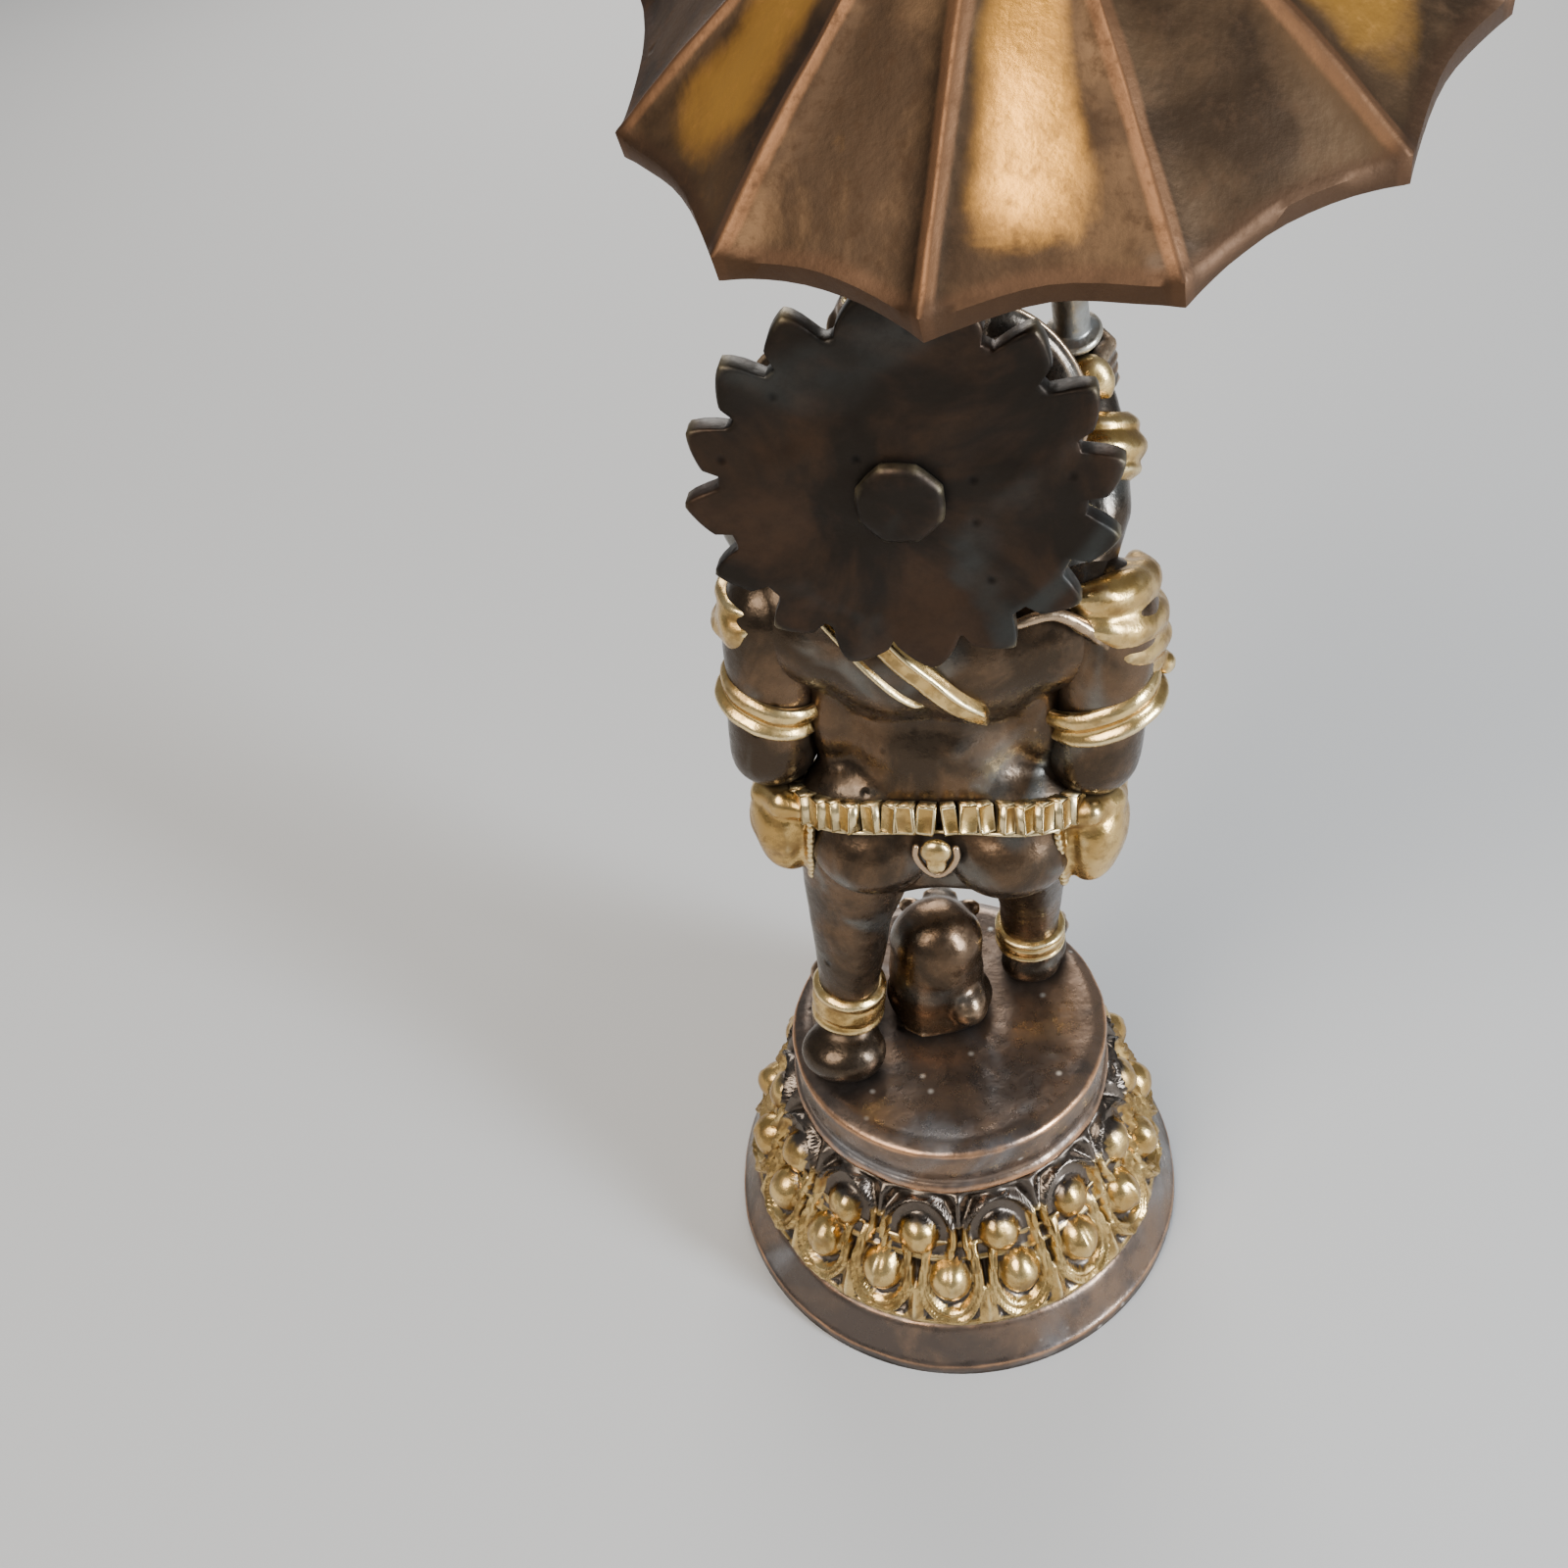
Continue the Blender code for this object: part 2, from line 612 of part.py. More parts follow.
def finial():
    """Bud on a collar, whose stalk drops through the canopy's crown."""
    top = CANOPY_RISE / MM
    profile = [(0.0, top + 9.0), (1.0, top + 7.8), (2.2, top + 5.6), (2.4, top + 4.0), (1.3, top + 2.8),
               (3.0, top + 1.8), (3.4, top + 0.8), (3.2, top + 0.2), (1.7, top + 0.2), (1.7, top - 2.6),
               (0.0, top - 2.6)]
    return on_axis("parasol_finial", profile, "gold")


def hub():
    """Socket under the crown: a flange against the sheet and a sleeve for the staff's end."""
    top = CANOPY_RISE / MM
    profile = [(2.1, top - 3.3), (4.2, top - 4.6), (4.2, top - 5.6), (3.0, top - 6.6), (3.0, top - 10.4),
               (2.1, top - 10.4)]
    return on_axis("canopy_hub", profile, "copper")


def staff():
    """Round staff, with the collar that rests on the fist."""
    top = CANOPY_RISE / MM
    low = -STAFF_BELOW / MM
    seat = -STAFF_COLLAR / MM
    radius = STAFF_R / MM
    profile = [(0.0, top - 3.2), (radius, top - 3.2), (radius, seat + 1.6), (radius + 1.1, seat + 1.0),
               (radius + 1.1, seat + 0.4), (radius, seat), (radius, low + 1.0), (radius - 0.5, low),
               (0.0, low)]
    return on_axis("parasol_staff", profile, "staff", steps=16)


def dress_torso(torso):
    """The belt and the sacred thread's two strands, laid on the torso's skin."""
    belt = hard_cutter(belt_ring(torso))
    tilt = (-0.70, 0.0, 0.70)
    thin = band("thread_thin", torso, (-0.6, 0.5, 93.2), tilt, round_outline(1.2, 0.9, 4), "gold")
    thick = band("thread_thick", torso, (-2.4, 0.5, 96.2), tilt, round_outline(2.2, 1.5, 4), "gold")
    for strand in (thin, thick):
        cut_by(strand, belt)
        hard_cutter(strand)
        cut_by(strand, torso)
    return belt, thin, thick


def legs_and_mouse(torso, belt):
    left = soft_body("left_leg", left_leg_forms(), "skin", 380)
    right = soft_body("right_leg", right_leg_forms(), "skin", 360)
    for leg in (left, right):
        cut_under(leg, PLATFORM_Z + GAP)
        cut_by(leg, torso, belt)
    mouse = soft_body("mouse", mouse_forms(), "skin", 280)
    cut_under(mouse, PLATFORM_Z + GAP)
    cut_by(mouse, left, right)
    for name, host, centre, axis in (("anklet_left", left, (10.3, 5.2, 41.6), (1.0, 0.5, -8.5)),
                                     ("anklet_right", right, (-11.4, -8.5, 41.6), (0.0, -0.4, -9.5))):
        cut_by(band(name, host, centre, axis, round_outline(3.6, 1.1, 4), "gold", steps=20), mouse)
    return left, right


def arms(torso, *dress):
    """Four arms: the lower pair leaves the shoulders first, the upper pair springs from behind them."""
    lower_left = soft_body("lower_left_arm", lower_left_arm_forms(), "skin", 300)
    lower_right = soft_body("lower_right_arm", lower_right_arm_forms(), "skin", 300)
    upper_left = soft_body("upper_left_arm", upper_left_arm_forms(), "skin", 220)
    upper_right = soft_body("upper_right_arm", upper_right_arm_forms(), "skin", 260)
    for arm in (lower_left, lower_right):
        cut_by(arm, torso, *dress)
    cut_by(upper_left, torso, lower_left, *dress)
    cut_by(upper_right, torso, lower_right, *dress)
    return lower_left, lower_right, upper_left, upper_right


def arm_rings(lower_left, lower_right, upper_left, upper_right, *others):
    """Armlets near the shoulders and bangles at the wrists."""
    rings = (("armlet_lower_left", lower_left, (14.8, 2.4, 88.8), (-0.4, 0.0, 0.9), 3.8, 1.1),
             ("armlet_lower_right", lower_right, (-18.6, 2.4, 88.8), (0.4, 0.0, 0.9), 3.8, 1.1),
             ("bangle_lower_left", lower_left, (11.2, -12.8, 82.0), (-3.0, -7.2, 3.0), 2.0, 0.9),
             ("bangle_lower_right", lower_right, (-17.2, -12.8, 81.7), (1.6, -6.8, 2.6), 2.0, 0.9),
             ("bangle_upper_left", upper_left, (14.2, -12.2, 111.2), (-1.0, -2.6, 4.0), 1.8, 0.9),
             ("bangle_upper_right", upper_right, (-16.8, -9.2, 113.6), (0.9, -3.2, 3.4), 2.2, 1.0))
    near_pieces = (lower_left, lower_right, upper_left, upper_right) + others
    for name, host, centre, axis, width, height in rings:
        ring = band(name, host, centre, axis, round_outline(width, height, 4), "gold", steps=20)
        cut_by(ring, *[piece for piece in near_pieces if piece is not host])
    leaves = (("armlet_upper_left", (14.2, 5.6, 103.0, 1.0), (17.2, 5.2, 101.4, 2.0), (19.0, 2.4, 100.0, 2.4),
               (19.2, -1.2, 99.4, 1.8), (17.6, -4.0, 99.6, 1.0)),
              ("armlet_upper_right", (-15.6, 5.4, 103.4, 1.0), (-18.4, 5.4, 102.2, 2.2), (-22.4, 3.6, 101.0, 2.8),
               (-23.6, -0.6, 99.8, 2.4), (-22.4, -4.0, 99.8, 1.2)))
    for name, *course in leaves:
        cut_by(soft_body(name, limb(*course), "gold", 260), *near_pieces)


def head_and_crown(torso, lower_left, lower_right, upper_left, upper_right, *dress):
    head = soft_body("head", head_forms(), "skin", 460)
    cut_by(head, torso, upper_left, upper_right, *dress)
    trunk = soft_body("trunk", trunk_forms(), "skin", 200)
    cut_by(trunk, head, torso, lower_left, *dress)
    top = hard_cutter(crown())
    cut_by(top, head)
    for name, side, out, lean, rise in (("left_ear", 1, 10.2, 4.0, 1.2), ("right_ear", -1, 7.6, 14.0, 5.4)):
        flap = ear(name, side, out, lean, rise)
        cut_by(flap, head, top, torso, upper_left, upper_right, lower_left, lower_right)
    for name, side, length in (("left_tusk", 1, 6.0), ("right_tusk", -1, 3.6)):
        cut_by(tusk(name, side, length), head, trunk)
    return head, trunk


def parasol(upper_right):
    """Staff, socket, sheet and finial; the fist is bored for the staff."""
    pole = hard_cutter(staff(), gap=CLEAR)
    cut_by(upper_right, pole)
    hang_on_axis(pole, hub(), canopy(), finial())
    return pole


def hang_on_axis(*pieces):
    """Parents the parasol's pieces to an empty on the axis that it slides and turns about."""
    axis = bpy.data.objects.new("parasol_axis", None)
    PARTS.objects.link(axis)
    axis.matrix_world = Matrix.Translation(CANOPY_CENTRE + SHIFT) @ canopy_turn().to_matrix().to_4x4()
    for piece in pieces:
        piece.parent = axis
        piece.matrix_parent_inverse = axis.matrix_world.inverted()


def base():
    """Pedestal and petal rings, squeezed and set off a little together as they were cast."""
    squash = Matrix.Translation((PEDESTAL_SHIFT, 0, 0)) @ Matrix.Diagonal((PEDESTAL_SQUASH, 1.0, 1.0, 1.0))
    for piece in (pedestal(), lower_petals(), upper_petals()):
        piece.data.transform(squash)


def build():
    base()
    torso = soft_body("torso", torso_forms(), "skin", 1000)
    belt, thin, thick = dress_torso(torso)
    left_leg, right_leg = legs_and_mouse(torso, belt)
    four_arms = arms(torso, belt, thin, thick)
    head, trunk = head_and_crown(torso, *four_arms, thin, thick)
    pole = parasol(four_arms[3])
    arm_rings(*four_arms, torso, trunk, thin, thick, pole)
    cut_by(leaf_plate("belt_pendant", (-2.2, 10.6, 73.6), (3.4, 5.2), 2.2, 0.0, "gold"), torso, belt)
    for name, side in (("left_sash_end", 1), ("right_sash_end", -1)):
        sash = soft_body(name, sash_forms(side), "gold", 130)
        cut_by(sash, torso, belt, left_leg, right_leg, four_arms[0], four_arms[1])
    disc = sun_disc()
    peg = hard_cutter(disc_peg())
    cut_by(disc, peg)
    cut_by(head, peg)
    for obj in PARTS.objects:
        if obj.type == "MESH":
            obj.data.transform(Matrix.Translation(SHIFT))


clear_scene()
PARTS = new_collection("parasol_deity")
CUTTERS = new_collection("cutters")
CUTTER_OF = {}
build()
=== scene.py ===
"""Looks of a small cast brass deity under a parasol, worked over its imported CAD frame.

Lengths are in millimetres, counted from the middle of the figure on the floor,
unless a name or a comment says otherwise. The figure faces -Y.
"""
import json
import math

import bmesh
import bpy
import numpy as np
from mathutils import Matrix, Vector, noise


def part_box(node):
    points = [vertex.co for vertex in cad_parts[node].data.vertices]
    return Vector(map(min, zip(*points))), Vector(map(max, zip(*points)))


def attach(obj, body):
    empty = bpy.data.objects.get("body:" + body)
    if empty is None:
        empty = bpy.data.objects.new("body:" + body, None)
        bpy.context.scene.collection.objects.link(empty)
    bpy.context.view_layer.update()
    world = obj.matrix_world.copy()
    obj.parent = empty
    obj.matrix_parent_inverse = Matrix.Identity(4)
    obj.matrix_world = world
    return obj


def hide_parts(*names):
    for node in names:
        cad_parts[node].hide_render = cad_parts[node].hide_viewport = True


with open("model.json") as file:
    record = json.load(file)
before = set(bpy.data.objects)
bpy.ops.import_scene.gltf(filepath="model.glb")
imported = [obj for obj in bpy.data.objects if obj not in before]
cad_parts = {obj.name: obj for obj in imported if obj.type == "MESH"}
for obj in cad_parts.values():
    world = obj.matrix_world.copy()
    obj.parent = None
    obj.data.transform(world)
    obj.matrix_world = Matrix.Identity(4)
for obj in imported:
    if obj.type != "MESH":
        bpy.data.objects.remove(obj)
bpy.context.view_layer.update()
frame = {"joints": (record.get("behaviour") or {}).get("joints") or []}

MM = 0.001
UP = Vector((0, 0, 1))

# ------------------------------------------------------------------ the frame

BASE_LOW, BASE_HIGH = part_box("pedestal")
BASE_MIDDLE = (BASE_LOW + BASE_HIGH) / 2
BASE_SQUASH = (BASE_HIGH.x - BASE_LOW.x) / (BASE_HIGH.y - BASE_LOW.y)
FIGURE_SHIFT = 1.1           # the figure stands this far beside the pedestal's middle
ORIGIN = Vector((BASE_MIDDLE.x + FIGURE_SHIFT * MM, BASE_MIDDLE.y, 0.0))
FOOT_R = (BASE_HIGH.y - BASE_LOW.y) / 2 / MM
PLATFORM_Z = BASE_HIGH.z / MM

SPIN = next(joint for joint in frame["joints"] if joint["name"] == "parasol_spin")
CANOPY_TURN = UP.rotation_difference(Vector(SPIN["axis"]))
CANOPY_PLACE = Matrix.Translation(Vector(SPIN["pos_m"])) @ CANOPY_TURN.to_matrix().to_4x4()


def place(point):
    """A point of the figure, in millimetres, as a world point."""
    return ORIGIN + Vector(point) * MM


# ------------------------------------------------------------- making materials

MIX_SHARE, MIX_FIRST, MIX_SECOND, MIX_RESULT = 0, 6, 7, 2    # sockets of a colour Mix node
PIT_SCALE = 170.0            # casting pits and pale flecks, as cells per metre
FLECK_SCALE = 230.0
FLECK_COLOUR = (0.80, 0.76, 0.70)


def node(tree, kind, inputs=None, **settings):
    """A shader node; inputs takes numbers, colours or other nodes' sockets."""
    made = tree.nodes.new(kind)
    for key, value in settings.items():
        setattr(made, key, value)
    for key, value in (inputs or {}).items():
        socket = made.inputs[key]
        if isinstance(value, bpy.types.NodeSocket):
            tree.links.new(value, socket)
        else:
            socket.default_value = value
    return made


def grain(tree, scale, detail=4.0, rough=0.55, warp=0.0):
    """Noise in the object's own metres."""
    where = node(tree, "ShaderNodeTexCoord").outputs["Object"]
    made = node(tree, "ShaderNodeTexNoise", {"Vector": where, "Scale": scale, "Detail": detail,
                                             "Roughness": rough, "Distortion": warp})
    return made.outputs["Fac"]


def between(tree, value, low, high):
    """0 below low, 1 above high, smooth on the way."""
    made = node(tree, "ShaderNodeMapRange", {"Value": value, "From Min": low, "From Max": high},
                interpolation_type="SMOOTHSTEP")
    return made.outputs["Result"]


def sums(tree, what, first, second):
    made = node(tree, "ShaderNodeMath", {0: first, 1: second}, operation=what)
    return made.outputs[0]


def scaled(tree, value, factor, base):
    """value * factor + base, where base is a number or a socket."""
    made = node(tree, "ShaderNodeMath", {0: value, 1: factor, 2: base}, operation="MULTIPLY_ADD")
    return made.outputs[0]


def blended(tree, share, first, second):
    """Mixes two colours, given as (r, g, b) or as sockets."""
    made = node(tree, "ShaderNodeMix", data_type="RGBA")
    for index, value in ((MIX_SHARE, share), (MIX_FIRST, first), (MIX_SECOND, second)):
        if isinstance(value, bpy.types.NodeSocket):
            tree.links.new(value, made.inputs[index])
        else:
            made.inputs[index].default_value = value if index == MIX_SHARE else (*value, 1.0)
    return made.outputs[MIX_RESULT]


def tinted(tree, colour, mask, amount, tint):
    """A colour with a tint over it where the mask is 1, amount strong."""
    return blended(tree, sums(tree, "MULTIPLY", mask, amount), colour, tint)


def attribute(tree, name):
    return node(tree, "ShaderNodeAttribute", attribute_name=name).outputs["Fac"]


def pits(tree, scale, size):
    """Round casting pits and specks: 1 in the middle of each."""
    where = node(tree, "ShaderNodeTexCoord").outputs["Object"]
    cells = node(tree, "ShaderNodeTexVoronoi", {"Vector": where, "Scale": scale, "Randomness": 1.0})
    return between(tree, cells.outputs["Distance"], size, 0.0)


def ridge_wear(tree, low, high, scale, amount):
    """Where sharp outer edges have been rubbed: the piece's own edge attribute, broken up by noise."""
    ragged = scaled(tree, grain(tree, scale, 4.0, 0.6), amount, attribute(tree, "edge"))
    return between(tree, ragged, low, high)


def hollow(tree, reach, low=0.35, high=0.85):
    """1 deep in grooves and corners, found by ambient occlusion: the grime that stays there, and painted
    shade.
    """
    shade = node(tree, "ShaderNodeAmbientOcclusion", {"Distance": reach * MM}, samples=8)
    return between(tree, shade.outputs["AO"], high, low)


def relief(tree, shader, *layers):
    """Chains bump layers of (height socket, distance in millimetres, strength)."""
    normal = None
    for height, distance, strength in layers:
        inputs = {"Height": height, "Distance": distance * MM, "Strength": strength}
        if normal:
            inputs["Normal"] = normal
        normal = node(tree, "ShaderNodeBump", inputs).outputs["Normal"]
    tree.links.new(normal, shader.inputs["Normal"])


def new_material(name, metallic=0.0):
    made = bpy.data.materials.new(name)
    made.use_nodes = True
    shader = made.node_tree.nodes["Principled BSDF"]
    shader.inputs["Metallic"].default_value = metallic
    return made, made.node_tree, shader


def patina_metal(name, dark, warm, worn, cold, metallic=0.9, smooth=0.27, dull=0.5, wear=(0.55, 1.15),
                 patch=75.0, specks=0.12, flecks=0.0):
    """Aged cast metal: two patina tones in patches, cold bloom, rubbed high places, pits, and grime with
    painted shade in the hollows.
    """
    made, tree, shader = new_material(name, metallic)
    patches = between(tree, grain(tree, patch, 5.0, 0.6, 0.6), 0.42, 0.6)
    colour = blended(tree, patches, dark, warm)
    bloom = between(tree, grain(tree, patch * 0.7, 3.0, 0.5, 1.2), 0.52, 0.66)
    colour = tinted(tree, colour, bloom, 0.75, cold)
    mottle = between(tree, grain(tree, patch * 9, 6.0, 0.7), 0.35, 0.75)
    colour = tinted(tree, colour, mottle, 0.35, dark)
    rubbed = ridge_wear(tree, *wear, patch * 5, 0.6)
    colour = blended(tree, rubbed, colour, worn)
    spots = pits(tree, PIT_SCALE, specks)
    colour = tinted(tree, colour, spots, 0.8, tuple(c * 0.12 for c in dark))
    # grime and painted shade: darker where ambient occlusion finds hollows, and rougher there
    grime_and_shade = hollow(tree, 3.0)
    colour = tinted(tree, colour, grime_and_shade, 0.75, tuple(c * 0.2 for c in dark))
    if flecks:
        colour = blended(tree, pits(tree, FLECK_SCALE, flecks), colour, FLECK_COLOUR)
    tree.links.new(colour, shader.inputs["Base Color"])
    rough = scaled(tree, mottle, dull - smooth, scaled(tree, grime_and_shade, 0.25, smooth))
    tree.links.new(rough, shader.inputs["Roughness"])
    relief(tree, shader, (grain(tree, patch * 4, 4.0, 0.5), 0.5, 0.35),
           (grain(tree, 1800.0, 4.0, 0.6), 0.06, 0.4), (sums(tree, "SUBTRACT", 1.0, spots), 0.25, 0.6))
    return made


def skin_bronze():
    return patina_metal("figure_bronze", (0.058, 0.040, 0.026), (0.145, 0.088, 0.050), (0.50, 0.35, 0.22),
                        (0.17, 0.17, 0.155), smooth=0.22, dull=0.40)


def base_bronze():
    return patina_metal("pedestal_bronze", (0.115, 0.09, 0.075), (0.235, 0.155, 0.105), (0.80, 0.42, 0.21),
                        (0.27, 0.265, 0.27), smooth=0.25, dull=0.42, patch=60.0, flecks=0.13)


def disc_patina():
    return patina_metal("disc_patina", (0.020, 0.015, 0.011), (0.052, 0.029, 0.017), (0.44, 0.36, 0.21),
                        (0.045, 0.048, 0.045), metallic=0.85, smooth=0.38, dull=0.6, wear=(0.8, 2.0),
                        patch=55.0)


def staff_brass():
    return patina_metal("staff_brass", (0.16, 0.135, 0.10), (0.26, 0.22, 0.17), (0.5, 0.45, 0.36),
                        (0.34, 0.35, 0.34), smooth=0.3, dull=0.5, patch=130.0, specks=0.2)


def worn_gold():
    """Bright brass ornaments, rubbed clean on top, with black grime and painted shade in the grooves."""
    made, tree, shader = new_material("worn_gold_brass", 1.0)
    tone = between(tree, grain(tree, 160.0, 4.0, 0.6, 0.5), 0.38, 0.62)
    colour = blended(tree, tone, (0.50, 0.31, 0.10), (0.77, 0.53, 0.21))
    ageing = between(tree, grain(tree, 420.0, 5.0, 0.65), 0.46, 0.64)
    colour = tinted(tree, colour, ageing, 0.62, (0.20, 0.12, 0.05))
    rubbed = ridge_wear(tree, 0.6, 1.5, 900.0, 0.7)
    colour = tinted(tree, colour, rubbed, 0.8, (0.95, 0.77, 0.43))
    bare = scaled(tree, grain(tree, 260.0, 4.0, 0.6), 0.6, attribute(tree, "bare"))
    colour = blended(tree, between(tree, bare, 0.72, 0.95), colour, (0.13, 0.105, 0.085))
    # grime and painted shade: near black where ambient occlusion finds grooves
    grime_and_shade = hollow(tree, 1.1, 0.25, 0.8)
    colour = tinted(tree, colour, grime_and_shade, 0.92, (0.045, 0.03, 0.018))
    tree.links.new(colour, shader.inputs["Base Color"])
    rough = scaled(tree, ageing, 0.16, scaled(tree, grime_and_shade, 0.4, 0.24))
    tree.links.new(rough, shader.inputs["Roughness"])
    relief(tree, shader, (grain(tree, 700.0, 4.0, 0.6), 0.16, 0.35),
           (grain(tree, 2600.0, 3.0, 0.6), 0.05, 0.4))
    return made


def canopy_brass():
    """Golden-brown sheet: panels rubbed bright between dull brown borders, with coppery ribs."""
    made, tree, shader = new_material("parasol_brass", 0.95)
    cloud = grain(tree, 70.0, 5.0, 0.6, 0.8)
    colour = blended(tree, between(tree, cloud, 0.4, 0.62), (0.052, 0.032, 0.019), (0.115, 0.068, 0.036))
    ragged = scaled(tree, grain(tree, 110.0, 5.0, 0.6, 0.6), 0.9, -0.45)
    shine = between(tree, sums(tree, "ADD", attribute(tree, "rubbed"), ragged), 0.3, 1.0)
    colour = blended(tree, shine, colour, (0.74, 0.36, 0.07))
    bloom = between(tree, grain(tree, 45.0, 4.0, 0.55, 1.0), 0.54, 0.68)
    colour = tinted(tree, colour, bloom, 0.3, (0.17, 0.14, 0.115))
    ribs = between(tree, scaled(tree, cloud, 0.5, attribute(tree, "rib")), 0.62, 0.95)
    colour = tinted(tree, colour, ribs, 0.85, (0.21, 0.105, 0.052))
    lip = between(tree, attribute(tree, "reach"), 0.955, 0.985)
    colour = tinted(tree, colour, lip, 0.8, (0.085, 0.046, 0.026))
    mottle = between(tree, grain(tree, 650.0, 6.0, 0.7), 0.48, 0.75)
    colour = tinted(tree, colour, mottle, 0.4, (0.10, 0.055, 0.03))
    spots = pits(tree, 150.0, 0.11)
    colour = tinted(tree, colour, spots, 0.7, (0.03, 0.018, 0.01))
    tree.links.new(colour, shader.inputs["Base Color"])
    rough = scaled(tree, mottle, 0.18, scaled(tree, shine, -0.19, 0.52))
    tree.links.new(rough, shader.inputs["Roughness"])
    relief(tree, shader, (grain(tree, 190.0, 4.0, 0.5), 0.5, 0.3),
           (grain(tree, 1900.0, 4.0, 0.6), 0.06, 0.4), (sums(tree, "SUBTRACT", 1.0, spots), 0.2, 0.5))
    return made


LOOKS = {"skin": ("figure_bronze", skin_bronze()), "base": ("pedestal_bronze", base_bronze()),
         "disc": ("disc_patina", disc_patina()), "staff": ("staff_brass", staff_brass()),
         "gold": ("worn_gold_brass", worn_gold()), "canopy": ("parasol_brass", canopy_brass())}


def edge_attribute(obj, rounds=3):
    """Stores how sharply the skin bulges at each vertex, in 1/mm, evened out a little."""
    mesh = obj.data
    count = len(mesh.vertices)
    ends = np.empty(len(mesh.edges) * 2, dtype=np.int64)
    mesh.edges.foreach_get("vertices", ends)
    a, b = ends[0::2], ends[1::2]
    co = coordinates(obj) / MM
    normals = np.empty(count * 3)
    mesh.vertex_normals.foreach_get("vector", normals)
    normals = normals.reshape(-1, 3)
    step = co[b] - co[a]
    length = np.maximum((step ** 2).sum(1), 1e-6)
    ahead = -2 * (step * normals[a]).sum(1) / length
    back = 2 * (step * normals[b]).sum(1) / length
    degree = np.maximum(np.bincount(a, minlength=count) + np.bincount(b, minlength=count), 1)
    bulge = (np.bincount(a, ahead, count) + np.bincount(b, back, count)) / degree
    for _ in range(rounds):
        bulge = (bulge + (np.bincount(a, bulge[b], count) + np.bincount(b, bulge[a], count)) / degree) / 2
    layer = mesh.attributes.new("edge", "FLOAT", "POINT")
    layer.data.foreach_set("value", np.clip(bulge, -4, 4).astype(np.float32))


def dress(obj, look, body, *nodes):
    """Gives a finished piece its metal and its body, and lets it stand for CAD nodes."""
    slot, metal = LOOKS[look]
    obj.data.materials.clear()
    obj.data.materials.append(metal)
    obj.data.shade_smooth()
    edge_attribute(obj)
    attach(obj, body)
    if nodes:
        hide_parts(*nodes)
    return obj


# --------------------------------------------------------------- making meshes

SHELL_STEPS = 28             # corners round a ball or a limb before melting
SHELL_RINGS = 15
BURIED = -0.5                # a band's edges lie this far under the skin


def round_point(radius, angle, height):
    """A corner at a radius and a height, in millimetres, round the Z axis, as a world point."""
    return radius * math.cos(angle) * MM, radius * math.sin(angle) * MM, height * MM


def join_rings(bm, rings, closed=False):
    """Faces between each ring of vertices and the next; a ring may be one point."""
    for low, high in zip(rings, rings[1:] + (rings[:1] if closed else [])):
        count = max(len(low), len(high))
        for i in range(count):
            k = (i + 1) % count
            corners = (low[i % len(low)], low[k % len(low)], high[k % len(high)], high[i % len(high)])
            bm.faces.new(list(dict.fromkeys(corners)))


def in_scene(name, data):
    obj = bpy.data.objects.new(name, data)
    bpy.context.scene.collection.objects.link(obj)
    return obj


def new_object(name, bm):
    mesh = bpy.data.meshes.new(name)
    bmesh.ops.recalc_face_normals(bm, faces=bm.faces)
    bm.to_mesh(mesh)
    bm.free()
    return in_scene(name, mesh)


def bake(obj):
    """Replaces the object's mesh by what its modifiers make of it."""
    graph = bpy.context.evaluated_depsgraph_get()
    mesh = bpy.data.meshes.new_from_object(obj.evaluated_get(graph))
    obj.modifiers.clear()
    obj.data = mesh


def ball(centre, radii):
    return [(centre, radii, centre, radii)]


def limb(*joints):
    """A chain of tapered round lengths through (x, y, z, radius) joints."""
    lengths = []
    for (ax, ay, az, ar), (bx, by, bz, br) in zip(joints, joints[1:]):
        lengths.append(((ax, ay, az), (ar, ar, ar), (bx, by, bz), (br, br, br)))
    return lengths


def smooth_limb(joints, steps=6, fold=0.0, folds=0):
    """A limb through a smooth curve; folds wrinkles run across it, each a share fold of its radius."""
    points = [np.array(joint, float) for joint in joints]
    points = [2 * points[0] - points[1]] + points + [2 * points[-1] - points[-2]]
    curve = []
    count = (len(points) - 3) * steps
    for i in range(count + 1):
        k = min(i // steps, len(points) - 4)
        t = i / steps - k
        a, b, c, d = points[k:k + 4]
        bend = (2 * a - 5 * b + 4 * c - d) * t * t
        p = 0.5 * (2 * b + (c - a) * t + bend + (3 * b - a - 3 * c + d) * t ** 3)
        p[3] *= 1 + fold * math.sin(2 * math.pi * folds * i / count)
        curve.append(tuple(p))
    return limb(*curve)


def rows_of_rings(rings, first):
    """Faces that join rings of numbered corners, counted from first, and close both ends."""
    count = SHELL_STEPS
    faces = [tuple(first + i for i in range(count))[::-1]]
    for low in range(first, first + (rings - 1) * count, count):
        for i in range(count):
            k = (i + 1) % count
            faces.append((low + i, low + k, low + count + k, low + count + i))
    top = first + (rings - 1) * count
    return faces + [tuple(top + i for i in range(count))]


def ellipsoid(centre, radii):
    """Ring corners of an ellipsoid, in millimetres."""
    corners = []
    for j in range(SHELL_RINGS):
        slope = math.pi * ((j + 0.35) / (SHELL_RINGS - 0.3) - 0.5)
        for i in range(SHELL_STEPS):
            turn = 2 * math.pi * i / SHELL_STEPS
            corners.append((centre[0] + radii[0] * math.cos(slope) * math.cos(turn),
                            centre[1] + radii[1] * math.cos(slope) * math.sin(turn),
                            centre[2] + radii[2] * math.sin(slope)))
    return corners


def tapered(start, start_radius, end, end_radius):
    """Ring corners of a round length between two points, in millimetres."""
    along = (Vector(end) - Vector(start)).to_track_quat("Z", "Y")
    corners = []
    for centre, radius in ((start, start_radius), (end, end_radius)):
        for i in range(SHELL_STEPS):
            turn = 2 * math.pi * i / SHELL_STEPS
            corner = Vector(centre) + along @ Vector((radius * math.cos(turn), radius * math.sin(turn), 0))
            corners.append(tuple(corner))
    return corners


